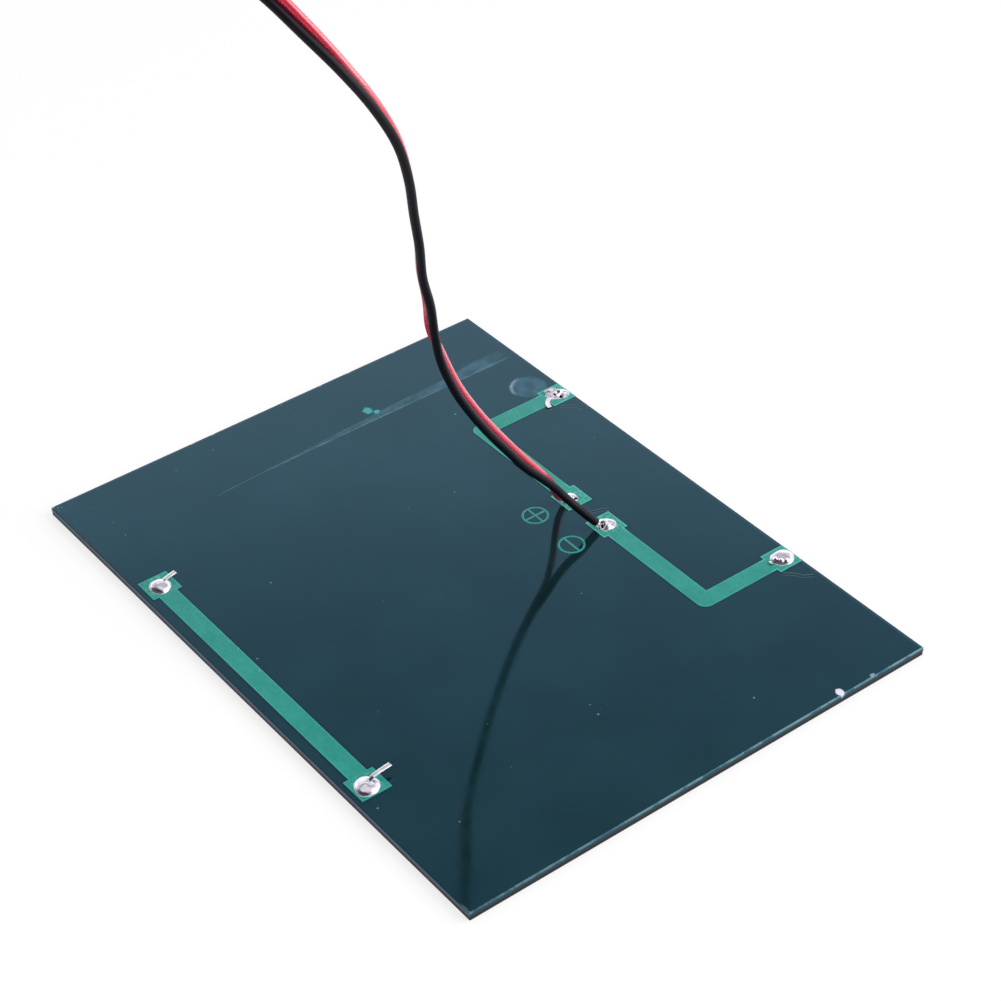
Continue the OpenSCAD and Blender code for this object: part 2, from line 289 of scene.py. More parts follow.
def flat_oval(count: int, power: float, width: float, height: float) -> tuple[np.ndarray, np.ndarray]:
    """Super-ellipse: the cosine and the sine of a whole turn, each flattened by a power below 1.

    Args:
        count: number of points.
        power: the power, nearer 0 for squarer corners.
        width: full width.
        height: full height.

    Returns:
        The places across and up.
    """
    cosine, sine = np.cos(whole_turn(count)), np.sin(whole_turn(count))
    wide, tall = (np.sign(wave) * np.abs(wave) ** power for wave in (cosine, sine))
    return wide * width / 2, tall * height / 2


def strip(
    curve: np.ndarray, across: np.ndarray, width: float, thickness: float, dip: float = 0.04
) -> np.ndarray:
    """Flat ribbon carried along a curve: a flattened super-ellipse, hollowed along its middle.

    Args:
        curve: points of the middle line, n by 3.
        across: unit direction of the ribbon's width at each point, n by 3.
        width: width of the ribbon.
        thickness: thickness of the ribbon.
        dip: depth of the dip along its middle.

    Returns:
        The rings, n by 20 by 3.
    """
    wide, thick = flat_oval(20, 0.45, width, thickness)
    thick = thick - dip * (1 - (2 * wide / width) ** 2)
    normal = unit(np.cross(directions(curve), across))
    return curve[:, None] + wide[None, :, None] * across[:, None] + thick[None, :, None] * normal[:, None]


def rounded_path(points: np.ndarray, radius: float, steps: int = 6) -> np.ndarray:
    """Path with its corners cut back by a radius and replaced by parabolic arcs.

    Args:
        points: corners of the path, n by 3.
        radius: distance from a corner to the ends of its arc, at most a third of its sides.
        steps: parts of each arc.

    Returns:
        The points of the rounded path.
    """
    chords = np.diff(points, axis=0)
    lengths = np.linalg.norm(chords, axis=1)
    units = chords / lengths[:, None]
    cut = np.minimum(radius, np.minimum(lengths[:-1], lengths[1:]) / 3)[:, None]
    before, after = points[1:-1] - units[:-1] * cut, points[1:-1] + units[1:] * cut
    s = np.linspace(0, 1, steps)[None, :, None]
    arcs = (1 - s) ** 2 * before[:, None] + 2 * s * (1 - s) * points[1:-1, None] + s**2 * after[:, None]
    return np.vstack([points[:1], arcs.reshape(-1, 3), points[-1:]])


def refined(path: np.ndarray, spacing: float) -> np.ndarray:
    """Path with points at an even spacing along it."""
    whole = reach_along(path)[-1]
    return points_at(path, np.linspace(0, whole, max(int(whole / spacing), 2) + 1))


# Node trees


class Graph:
    """Short hand for wiring the nodes of one tree."""

    def __init__(self, tree: bpy.types.NodeTree) -> None:
        """Takes the tree that the nodes go into."""
        self.tree = tree

    def node(self, kind: str, **settings: Any) -> bpy.types.Node:
        """New node.

        Args:
            kind: its type.
            settings: values of its own settings.

        Returns:
            The node.
        """
        made = self.tree.nodes.new(kind)
        for name, value in settings.items():
            setattr(made, name, value)
        return made

    def fill(self, node: bpy.types.Node, inputs: dict[int | str, Value]) -> None:
        """Links sockets to a node's inputs, or sets the inputs' own values.

        Args:
            node: the node.
            inputs: socket or value for each input, by its place or name.
        """
        for key, value in inputs.items():
            if isinstance(value, bpy.types.NodeSocket):
                self.tree.links.new(value, node.inputs[key])
            else:
                node.inputs[key].default_value = value

    def wired(
        self, kind: str, inputs: dict[int | str, Value], output: int | str = 0, **settings: Any
    ) -> Socket:
        """One output of a new node.

        Args:
            kind: the node's type.
            inputs: socket or value for each input, by its place or name.
            output: place or name of the output.
            settings: values of its own settings.

        Returns:
            The output.
        """
        made = self.node(kind, **settings)
        self.fill(made, inputs)
        return made.outputs[output]

    def math(self, operation: str, *values: Value, clamp: bool = False) -> Socket:
        """Result of a Math node."""
        return self.wired("ShaderNodeMath", dict(enumerate(values)), operation=operation, use_clamp=clamp)

    def product(self, *values: Value) -> Socket:
        """Product of several values."""
        return reduce(lambda first, second: self.math("MULTIPLY", first, second), values)

    def highest(self, values: Sequence[Value]) -> Socket:
        """Largest of several values."""
        return reduce(lambda first, second: self.math("MAXIMUM", first, second), values)

    def vector(self, operation: str, *values: Value) -> Socket:
        """Vector from a Vector Math node."""
        return self.wired("ShaderNodeVectorMath", dict(enumerate(values)), "Vector", operation=operation)

    def measure(self, operation: str, *values: Value) -> Socket:
        """Number from a Vector Math node."""
        return self.wired("ShaderNodeVectorMath", dict(enumerate(values)), "Value", operation=operation)

    def blend(self, share: Value, low: Value, high: Value) -> Socket:
        """Colour between two colours."""
        return self.wired("ShaderNodeMix", {0: share, 6: low, 7: high}, 2, data_type="RGBA")

    def layered(self, base: Value, layers: Sequence[tuple[Value, Value, Value]]) -> Socket:
        """Colour with others laid over it, each by its mask and strength, the first one lowest."""
        return reduce(lambda low, top: self.blend(self.product(top[0], top[1]), low, top[2]), layers, base)

    def remap(self, value: Value, start: Value, end: Value, low: Value = 0.0, high: Value = 1.0) -> Socket:
        """Value carried smoothly from one range to another and held at its ends."""
        inputs = dict(enumerate((value, start, end, low, high)))
        return self.wired("ShaderNodeMapRange", inputs, interpolation_type="SMOOTHSTEP", clamp=True)

    def curve(self, value: Value, points: Sequence[tuple[float, float]]) -> Socket:
        """Level on straight lines between points, held at both ends.

        Args:
            value: the place on the curve.
            points: place and level of each point.

        Returns:
            The level.
        """
        places, levels = (np.array(row, float) for row in zip(*points))
        low, rise = levels.min(), np.ptp(levels)
        ramp = self.node("ShaderNodeValToRGB")
        shares = (places - places[0]) / np.ptp(places)
        for share in shares[1:-1]:
            ramp.color_ramp.elements.new(share)
        for element, share, level in zip(ramp.color_ramp.elements, shares, (levels - low) / rise):
            element.position, element.color = share, (level, level, level, 1.0)
        offset = self.math("SUBTRACT", value, places[0])
        self.fill(ramp, {0: self.math("DIVIDE", offset, np.ptp(places), clamp=True)})
        return self.math("MULTIPLY_ADD", ramp.outputs[0], rise, low)

    def noise(self, at: Value, scale: float, detail: float = 2.0, roughness: float = 0.5) -> Socket:
        """Height of a noise texture, 0 to 1."""
        inputs = {"Vector": at, "Scale": scale, "Detail": detail, "Roughness": roughness}
        return self.wired("ShaderNodeTexNoise", inputs, "Fac")

    def shaken(self, at: Value, scale: float, reach: float) -> Socket:
        """Place moved about by noise.

        Args:
            at: the place.
            scale: scale of the noise.
            reach: farthest move along X and Y.

        Returns:
            The new place.
        """
        color = self.wired("ShaderNodeTexNoise", {"Vector": at, "Scale": scale}, "Color")
        middled = self.vector("SUBTRACT", color, (0.5, 0.5, 0.5))
        return self.vector("MULTIPLY_ADD", middled, (2 * reach, 2 * reach, 0.0), at)

    def millimetres(self) -> Socket:
        """Object coordinates in millimetres."""
        place = self.node("ShaderNodeTexCoord").outputs["Object"]
        return self.vector("MULTIPLY", place, (1 / MM, 1 / MM, 1 / MM))

    def axes(self, at: Value) -> tuple[Socket, Socket, Socket]:
        """X, Y and Z of a vector."""
        parts = self.wired("ShaderNodeSeparateXYZ", {0: at}).node.outputs
        return parts[0], parts[1], parts[2]

    def use(self, group: bpy.types.NodeTree, output: int | str = 0, **values: Value) -> Socket:
        """One output of a group with its inputs set by name, underscores for blanks."""
        inputs = {name.replace("_", " "): value for name, value in values.items()}
        return self.wired("ShaderNodeGroup", inputs, output, node_tree=group)

    def bump(self, height: Value, distance: float) -> Socket:
        """Normal from a height of 0 to 1, with its full reach given in millimetres."""
        return self.wired("ShaderNodeBump", {"Strength": 1.0, "Distance": distance * MM, "Height": height})


class Effects:
    """Shader node groups that several finishes share. Each one is built once, and takes a place."""

    def __init__(self) -> None:
        """Builds the groups."""
        self.specks = self._specks()
        self.mottle = self._mottle()
        self.line = self._line()
        self.spot = self._spot()
        self.plate = self._plate()
        self.copper = self._copper()

    @staticmethod
    def _group(
        name: str, outputs: Sequence[str], **inputs: float | tuple[float, ...]
    ) -> tuple[Graph, Any, bpy.types.Node]:
        """New group with its sockets.

        Args:
            name: name of the group.
            outputs: names of the outputs, which are values.
            inputs: first value of each input besides the place, underscores for blanks in its name.

        Returns:
            The group's graph, its given sockets and its result node.
        """
        tree = bpy.data.node_groups.new(name, "ShaderNodeTree")
        for entry, value in {"Place": ORIGIN, **inputs}.items():
            kind = "NodeSocketFloat" if isinstance(value, float) else "NodeSocketVector"
            socket = tree.interface.new_socket(entry.replace("_", " "), in_out="INPUT", socket_type=kind)
            socket.default_value = value
        for entry in outputs:
            tree.interface.new_socket(entry, in_out="OUTPUT", socket_type="NodeSocketFloat")
        graph = Graph(tree)
        return graph, graph.node("NodeGroupInput").outputs, graph.node("NodeGroupOutput")

    def _specks(self) -> bpy.types.NodeTree:
        """Dust: in some cells of a Voronoi pattern, a dot round the cell's point.

        Returns:
            The group.
        """
        graph, given, result = self._group("dust_specks", ["Mask"], Spacing=2.0, Share=0.3, Size=0.12)
        cells = graph.node("ShaderNodeTexVoronoi")
        graph.fill(cells, {"Vector": given["Place"], "Scale": graph.math("DIVIDE", 1.0, given["Spacing"])})
        pick, size, _ = graph.axes(cells.outputs["Color"])
        chosen = graph.math("LESS_THAN", pick, given["Share"])
        reach = graph.math("DIVIDE", graph.product(size, given["Size"]), given["Spacing"])
        away = graph.math("DIVIDE", cells.outputs["Distance"], reach)
        inside = graph.remap(graph.math("SUBTRACT", 1.0, away, clamp=True), 0.0, 0.6)
        graph.fill(result, {"Mask": graph.product(chosen, inside)})
        return graph.tree

    def _mottle(self) -> bpy.types.NodeTree:
        """Slow change over a surface: noise carried to a range.

        Returns:
            The group.
        """
        graph, given, result = self._group("mottle", ["Value"], Scale=0.1, Low=0.0, High=1.0)
        cloud = graph.noise(given["Place"], given["Scale"], 4.0)
        graph.fill(result, {"Value": graph.remap(cloud, 0.3, 0.7, given["Low"], given["High"])})
        return graph.tree

    def _line(self) -> bpy.types.NodeTree:
        """Mark along a straight line: 1 within a half width of the line's nearest point, fading beyond.

        Returns:
            The group.
        """
        ends = {"From": ORIGIN, "To": (1.0, 0.0, 0.0)}
        graph, given, result = self._group("line_mark", ["Mask"], **ends, Half_Width=0.1, Fade=0.1)
        offset = graph.vector("SUBTRACT", given["Place"], given["From"])
        whole = graph.vector("SUBTRACT", given["To"], given["From"])
        square = graph.measure("DOT_PRODUCT", whole, whole)
        reach = graph.math("DIVIDE", graph.measure("DOT_PRODUCT", offset, whole), square, clamp=True)
        nearest = graph.wired("ShaderNodeVectorMath", {0: whole, "Scale": reach}, operation="SCALE")
        past = graph.math("SUBTRACT", graph.measure("DISTANCE", offset, nearest), given["Half Width"])
        faded = graph.math("DIVIDE", past, given["Fade"])
        graph.fill(result, {"Mask": graph.math("SUBTRACT", 1.0, faded, clamp=True)})
        return graph.tree

    def _spot(self) -> bpy.types.NodeTree:
        """Oval mark: 1 inside an oval, fading at its edge, and a second mask for the edge alone.

        Returns:
            The group.
        """
        oval = {"Middle": ORIGIN, "Size": (1.0, 1.0, 1.0)}
        graph, given, result = self._group("spot_mark", ["Mask", "Rim"], **oval, Fade=0.2)
        offset = graph.vector("SUBTRACT", given["Place"], given["Middle"])
        away = graph.measure("LENGTH", graph.vector("DIVIDE", offset, given["Size"]))
        past = graph.math("DIVIDE", graph.math("SUBTRACT", away, 1.0), given["Fade"])
        rim = graph.math("SUBTRACT", 1.0, graph.math("ABSOLUTE", past), clamp=True)
        graph.fill(result, {"Mask": graph.math("SUBTRACT", 0.5, past, clamp=True), "Rim": rim})
        return graph.tree

    def _plate(self) -> bpy.types.NodeTree:
        """Distance beyond the sides of a rectangle, negative inside: the larger of the two overhangs.

        Returns:
            The group.
        """
        graph, given, result = self._group("plate_edge", ["Distance"], Middle=ORIGIN, Half=(1.0, 1.0, 0.0))
        offset = graph.vector("ABSOLUTE", graph.vector("SUBTRACT", given["Place"], given["Middle"]))
        over_x, over_y, _ = graph.axes(graph.vector("SUBTRACT", offset, given["Half"]))
        graph.fill(result, {"Distance": graph.math("MAXIMUM", over_x, over_y)})
        return graph.tree

    def _copper(self) -> bpy.types.NodeTree:
        """Distance beyond the tracks' outline, negative inside: the least of their plates and round corners.

        Returns:
            The group.
        """
        graph, given, result = self._group("copper_edge", ["Distance"])
        flat = graph.vector("MULTIPLY", given["Place"], (1.0, 1.0, 0.0))
        edges = [
            graph.use(self.plate, Place=flat, Middle=(x, y, 0.0), Half=(half_x, half_y, 0.0))
            for x, y, half_x, half_y in COPPER_PLATES
        ]
        for x in (STRING_A_X, STRING_B_X):
            away = graph.measure("DISTANCE", flat, (x, WIRE_PAD_Y, 0.0))
            edges.append(graph.math("SUBTRACT", away, TRACK_W / 2))
        least = reduce(lambda first, second: graph.math("MINIMUM", first, second), edges)
        graph.fill(result, {"Distance": least})
        return graph.tree


EFFECTS = Effects()


def new_material(name: str) -> tuple[bpy.types.Material, Graph, bpy.types.Node]:
    """New node material.

    Args:
        name: name of the material.

    Returns:
        The material, its graph and its Principled shader.
    """
    made = bpy.data.materials.new(name)
    made.use_nodes = True
    shader = next(n for n in made.node_tree.nodes if n.type == "BSDF_PRINCIPLED")
    return made, Graph(made.node_tree), shader


# Finishes


@dataclass(frozen=True)
class Mark:
    """One oval mark on the board: its middle and its half sizes along X and Y."""

    x: float
    y: float
    half_x: float
    half_y: float

    def oval(self) -> dict[str, Value]:
        """Middle and size as the spot group takes them."""
        return {"Middle": (self.x, self.y, TOP_Z), "Size": (self.half_x, self.half_y, 1.0)}


def spots(graph: Graph, place: Socket, marks: Sequence[Mark], fade: float) -> Socket:
    """Mask of several oval marks on the board's face."""
    return graph.highest([graph.use(EFFECTS.spot, Place=place, Fade=fade, **mark.oval()) for mark in marks])


Path = tuple[tuple[float, float], ...]


def lines(graph: Graph, place: Socket, paths: Sequence[Path], half_width: float, fade: float) -> Socket:
    """Mask of lines along paths on the board's face.

    Args:
        graph: the material's graph.
        place: place on the board in millimetres.
        paths: corners of each line, x and y.
        half_width: half the width of a line.
        fade: width of its soft edge.

    Returns:
        The mask.
    """
    return graph.highest([
        graph.use(
            EFFECTS.line,
            Place=place,
            From=(*start, TOP_Z),
            To=(*end, TOP_Z),
            Half_Width=half_width,
            Fade=fade,
        )
        for path in paths
        for start, end in zip(path, path[1:])
    ])


@dataclass(frozen=True)
class BoardFinish:
    """Glossy dark coating on the board, with its cut edges, chips, stains and dust. It also carries painted
    shade beside the tracks, beside the scratches and along the left and back edges, painted highlights on the
    drop's rim, the scratches and the right edge, and a right wall painted darker as painted shade.

    The streak's two sides are tables of y and x, and the scratches are paths of x and y.
    """

    name: str = "board_coating"
    deep: Color = srgb(12, 33, 37)
    light: Color = srgb(17, 40, 45)
    # painted shade: dark colour laid beside the tracks, beside each scratch and along the left and back top
    # edges
    painted_shade: Color = srgb(3, 20, 24)
    wall: Color = srgb(60, 58, 80)
    wall_deep: Color = srgb(48, 45, 64)
    # painted shade: the right wall's colour, much darker than the other walls
    right_wall_shade: Color = srgb(12, 14, 20)
    underside: Color = srgb(24, 26, 38)
    # pale teal of the worn right edge; it also serves as a painted highlight along that edge
    worn: Color = srgb(100, 128, 120)
    crust: Color = srgb(102, 146, 146)
    chipped: Color = srgb(228, 224, 240)
    residue: Color = srgb(86, 132, 156)
    leak: Color = srgb(58, 152, 142)
    # colour of dust specks and nicks, also laid as painted highlight on the drop's rim and along the
    # scratches
    dust: Color = srgb(150, 165, 172)
    sheen: Color = (0.12, 0.6, 1.0, 1.0)
    ior: float = 1.75
    roughness: float = 0.07
    chips: tuple[Mark, ...] = (Mark(56.85, 26.05, 0.75, 0.6),)
    nicks: tuple[Mark, ...] = (
        Mark(-57.4, -15.4, 0.2, 0.4),
        Mark(-57.4, -11.4, 0.18, 0.5),
        Mark(-57.4, 10.4, 0.2, 0.3),
        Mark(-57.4, 16.4, 0.2, 0.45),
        Mark(-57.4, 25.9, 0.2, 0.35),
        Mark(-57.35, -42.35, 0.3, 0.3),
        Mark(57.15, 32.3, 0.25, 0.45),
    )
    blotch: tuple[Mark, ...] = (Mark(-46.0, 12.7, 0.95, 0.75), Mark(-44.75, 13.7, 0.5, 0.6))
    drop: Mark = Mark(-33.7, 38.0, 3.05, 3.05)
    streak_left: Path = (
        (-19.6, -42.78), (-11.0, -43.22), (-1.0, -43.68), (10.2, -44.4), (18.6, -44.83), (28.0, -45.06),
        (34.1, -45.98),
    )
    streak_right: Path = (
        (-19.6, -42.56), (-11.0, -42.9), (-1.0, -43.02), (10.2, -43.04), (34.1, -42.98),
    )
    scratches: tuple[Path, ...] = (
        ((-26.0, 38.7), (-25.3, 39.9), (-24.3, 40.9), (-23.4, 41.2)),
        ((31.1, 38.05), (32.4, 39.4), (33.55, 40.05), (34.4, 41.35)),
        ((-0.6, 23.8), (0.2, 25.6), (1.0, 27.5)),
    )
    # offset of a groove beside each scratch; its darkening is a painted shadow
    groove_and_shadow_step: tuple[float, float, float] = (-0.32, 0.26, 0.0)

    def _streak(self, graph: Graph, place: Socket) -> tuple[Socket, Socket]:
        """Masks of the dried streak: its patchy band and the fine line along its right side.

        Args:
            graph: the material's graph.
            place: place on the board in millimetres.

        Returns:
            The band and the line.
        """
        x, y, _ = graph.axes(graph.shaken(place, 0.8, 0.12))
        from_left = graph.math("SUBTRACT", x, graph.curve(y, self.streak_left))
        to_right = graph.math("SUBTRACT", graph.curve(y, self.streak_right), x)
        inside = graph.math("MINIMUM", graph.remap(from_left, -0.1, 0.3), graph.remap(to_right, -0.05, 0.15))
        grown = graph.remap(y, -20.2, 4.0, 0.35, 1.0)
        ends = graph.product(grown, graph.remap(y, -20.2, -19.2), graph.remap(y, 42.0, 37.0))
        stretched = graph.vector("MULTIPLY", place, (1.0, 0.4, 1.0))
        patchy = graph.remap(graph.noise(stretched, 0.9, 4.0, 0.65), 0.32, 0.66, 0.3, 1.0)
        near = graph.remap(graph.math("ABSOLUTE", to_right), 0.16, 0.04)
        return graph.product(inside, ends, patchy), graph.product(near, ends, patchy)

    def _edges(self, graph: Graph, place: Socket) -> tuple[Socket, Socket]:
        """Masks of the top edges: a pale line along the right edge and at the front corner that is wear with
        a painted highlight, flecks at one corner, and a slope at the left and back that carries painted
        shade.

        Args:
            graph: the material's graph.
            place: place on the board in millimetres.

        Returns:
            The wear with its painted highlight, and the slope with its painted shade, which grows from 0 to 1
            at the edge.
        """
        x, y, _ = graph.axes(place)
        stronger = graph.remap(y, -BACK_Y, 10.0, 0.5, 0.85)
        right = graph.product(graph.remap(x, RIGHT_X - 0.2, RIGHT_X - 0.12), stronger)
        at_corner = graph.remap(x, 54.8, 56.6, 0.0, 0.6)
        front = graph.product(graph.remap(y, 0.35 - BACK_Y, 0.2 - BACK_Y), at_corner)
        patchy = graph.remap(graph.noise(place, 0.35, 5.0, 0.7), 0.4, 0.56, 0.1, 1.0)
        corner = graph.product(graph.remap(x, -55.0, -57.3), graph.remap(y, -38.5, -41.8))
        flecks = graph.product(corner, graph.remap(graph.noise(place, 1.7, 3.0, 0.6), 0.54, 0.62))
        left = graph.remap(x, 0.55 - RIGHT_X, -RIGHT_X)
        back = graph.remap(y, BACK_Y - 0.6, BACK_Y)
        # the right and front lines are wear and painted highlight; the flecks are chips
        worn = graph.highest([graph.product(graph.highest([right, front]), patchy), flecks])
        return worn, graph.highest([left, back])

    def _drop(self, graph: Graph, place: Socket) -> tuple[Socket, Socket]:
        """Masks of the dried drop of flux: its face, and the arc at its front left, which carries a painted
        highlight.

        Args:
            graph: the material's graph.
            place: place on the board in millimetres.

        Returns:
            The face and the arc.
        """
        face = graph.use(EFFECTS.spot, Place=place, Fade=0.16, **self.drop.oval())
        offset = graph.vector("SUBTRACT", place, self.drop.oval()["Middle"])
        ahead = graph.measure("DOT_PRODUCT", offset, (-0.67, -0.74, 0.0))
        return face, graph.product(face.node.outputs["Rim"], graph.remap(ahead, 1.7, 2.9))

    def _walls(self, graph: Graph, place: Socket) -> tuple[Socket, Socket]:
        """Mask and colour of the board's side walls, which start lower on the right side, where the wall is
        painted much darker as painted shade.

        Args:
            graph: the material's graph.
            place: place on the board in millimetres.

        Returns:
            The mask and the colour.
        """
        x, _, z = graph.axes(place)
        at_right = graph.remap(x, RIGHT_X - 0.06, RIGHT_X - 0.03)
        below = graph.math("MULTIPLY_ADD", at_right, -0.24, TOP_Z - 0.12)
        aside = graph.math("MULTIPLY_ADD", graph.math("SUBTRACT", below, z), 20.0, 0.5, clamp=True)
        layers = graph.noise(graph.vector("MULTIPLY", place, (0.15, 0.15, 1.0)), 1.0)
        wall = graph.blend(graph.remap(layers, 0.35, 0.65), self.wall_deep, self.wall)
        # the right wall takes its painted-shade colour
        return aside, graph.blend(at_right, wall, self.right_wall_shade)

    def material(self) -> bpy.types.Material:
        """Builds the material; its masks follow places on the board in millimetres.

        Returns:
            The material.
        """
        made, graph, shader = new_material(self.name)
        place = graph.millimetres()
        _, _, z = graph.axes(place)
        # painted shade: a dark line on the coating just outside the tracks' edges
        track_edge_shade = graph.remap(graph.use(EFFECTS.copper, Place=place), 0.55, 0.1)
        band, bright = self._streak(graph, place)
        face, arc = self._drop(graph, place)
        cloudy = graph.use(EFFECTS.mottle, Place=place, Scale=0.5, Low=0.1, High=0.34)
        blotch = spots(graph, graph.shaken(place, 1.6, 0.45), self.blotch, 0.4)
        broken = graph.shaken(place, 1.8, 0.18)
        chips, nicks = spots(graph, broken, self.chips, 0.35), spots(graph, broken, self.nicks, 0.35)
        # the scratches themselves: a faint pale line that is scratched coating and a painted highlight
        cut = lines(graph, place, self.scratches, 0.04, 0.12)
        # a real groove in the bump beside each scratch, darkened in colour as a painted shadow
        groove_and_shadow = lines(graph, graph.vector("ADD", place, self.groove_and_shadow_step), self.scratches, 0.05, 0.25)
        specks = graph.use(EFFECTS.specks, Place=place, Spacing=4.0, Share=0.9, Size=0.26)
        rubbed_and_highlit, rolled_and_shaded = self._edges(graph, place)
        aside, wall = self._walls(graph, place)
        under = graph.remap(z, BOARD_Z + 0.02, BOARD_Z + 0.01)
        coat = graph.blend(graph.use(EFFECTS.mottle, Place=place, Scale=0.06), self.deep, self.light)
        color = graph.layered(coat, (
            (track_edge_shade, 0.8, self.painted_shade),
            (band, 0.31, self.residue),
            (bright, 0.7, self.crust),
            (face, cloudy, self.residue),
            # painted highlight: the drop's front-left rim, lightened with the dust colour
            (arc, 0.6, self.dust),
            (blotch, 1.0, self.leak),
            # painted shadow beside each scratch
            (groove_and_shadow, 0.95, self.painted_shade),
            # scratch line: pale scratched coating and a painted highlight
            (cut, 0.15, self.dust),
            (specks, 0.5, self.dust),
            # painted shade: dark line along the left and back top edges
            (rolled_and_shaded, 1.0, self.painted_shade),
            # wear and painted highlight along the right edge and the front corner
            (rubbed_and_highlit, 1.0, self.worn),
            (aside, 1.0, wall),
            (nicks, 0.7, self.dust),
            (chips, 0.9, self.chipped),
            (under, 1.0, self.underside),
        ))
        low, high = self.roughness - 0.02, self.roughness + 0.03
        rough = graph.use(EFFECTS.mottle, Place=place, Scale=0.4, Low=low, High=high)
        beveled = graph.remap(z, TOP_Z - 0.01, TOP_Z - 0.03)
        dull = graph.highest([specks, chips, nicks, beveled, rubbed_and_highlit, graph.product(band, 0.6)])
        height = graph.product(cut, -0.5)
        for relief, depth in ((graph.noise(place, 0.9, 2.0, 0.45), 0.05), (groove_and_shadow, -0.8), (rolled_and_shaded, -1.1)):
            height = graph.math("MULTIPLY_ADD", relief, depth, height)
        graph.fill(shader, {
            "Base Color": color,
            "Roughness": graph.math("MULTIPLY_ADD", dull, 0.4, rough, clamp=True),
            "Normal": graph.bump(height, 0.03),
            "IOR": self.ior,
            "Specular Tint": self.sheen,
        })
        return made


@dataclass(frozen=True)
class TrackFinish:
    """The coating where it lies on copper: lighter, with a painted highlight as a pale line inside the edge
    of the upper pads.

    Round the solder joints it is wrinkled by their heat.
    """

    name: str = "track_coating"
    face: Color = srgb(19, 126, 114)
    pale: Color = srgb(46, 150, 140)
    # pale mint of the painted highlight inside the tracks' edges, also the colour of the heat wrinkles
    rim: Color = srgb(104, 198, 184)
    dust: Color = srgb(180, 220, 214)
    sheen: Color = (0.7, 0.95, 1.0, 1.0)
    link_joints: Path = ((STRING_A_X, LINK_Y), (STRING_B_X, LINK_Y))
    upper_joints: Path = (
        (STRING_A_X, BUS_SOLDER_Y),
        (STRING_B_X, BUS_SOLDER_Y),
        (PLUS_PAD_X, WIRE_PAD_Y),
        (MINUS_PAD_X, WIRE_PAD_Y),
    )

    def material(self) -> bpy.types.Material:
        """Builds the material.

        Returns:
            The material.
        """
        made, graph, shader = new_material(self.name)
        place = graph.millimetres()
        grain = graph.use(EFFECTS.mottle, Place=place, Scale=1.3)
        cloud = graph.use(EFFECTS.mottle, Place=place, Scale=0.25, Low=0.1, High=0.45)
        coat = graph.blend(graph.math("MULTIPLY_ADD", grain, 0.3, cloud), self.face, self.pale)
        link, upper = (
            [graph.measure("DISTANCE", place, (*joint, TOP_Z)) for joint in joints]
            for joints in (self.link_joints, self.upper_joints)
        )
        beyond = graph.use(EFFECTS.copper, Place=place)
        inside = graph.product(graph.remap(beyond, -0.32, -0.2), graph.remap(beyond, 0.02, -0.08))
        edge_highlight = graph.highest([graph.remap(away, 4.2, 3.5, 0.1, 0.4) for away in upper])
        heated = graph.highest([graph.remap(away, 2.8, 1.9) for away in link + upper])
        fold = graph.math("ABSOLUTE", graph.math("SUBTRACT", graph.noise(place, 1.1), 0.5))
        wrinkles = graph.product(heated, graph.remap(fold, 0.035, 0.01))
        specks = graph.use(EFFECTS.specks, Place=place, Spacing=2.2, Share=0.5, Size=0.2)
        rough = graph.use(EFFECTS.mottle, Place=place, Scale=0.8, Low=0.1, High=0.2)
        waves = graph.product(graph.noise(place, 1.6, 3.0), 0.5)
        graph.fill(shader, {
            "Base Color": graph.layered(coat, (
                # painted highlight: a pale line just inside the copper's edge, stronger near the upper joints
                (inside, edge_highlight, self.rim),
                (wrinkles, 0.55, self.rim),
                (specks, 0.45, self.dust),
            )),
            "Roughness": graph.math("MULTIPLY_ADD", specks, 0.3, rough),
            "Normal": graph.bump(graph.math("MULTIPLY_ADD", wrinkles, 0.8, waves), 0.008),
            "Specular Tint": self.sheen,
        })
        return made


@dataclass(frozen=True)
class MetalFinish:
    """Tinned or soldered metal, bright with dull patches."""

    name: str
    bright: Color
    dull: Color
    smooth: float
    rough: float
    grain: float
    dent: float

    def material(self) -> bpy.types.Material:
        """Builds the material; patches of oxide are duller and rougher.

        Returns:
            The material.
        """
        made, graph, shader = new_material(self.name)
        place = graph.millimetres()
        patch = graph.use(EFFECTS.mottle, Place=place, Scale=self.grain)
        graph.fill(shader, {
            "Base Color": graph.blend(patch, self.bright, self.dull),
            "Roughness": graph.remap(patch, 0.0, 1.0, self.smooth, self.rough),
            "Metallic": 1.0,
            "Normal": graph.bump(graph.noise(place, self.grain * 2.5, 4.0, 0.6), self.dent),
        })
        return made


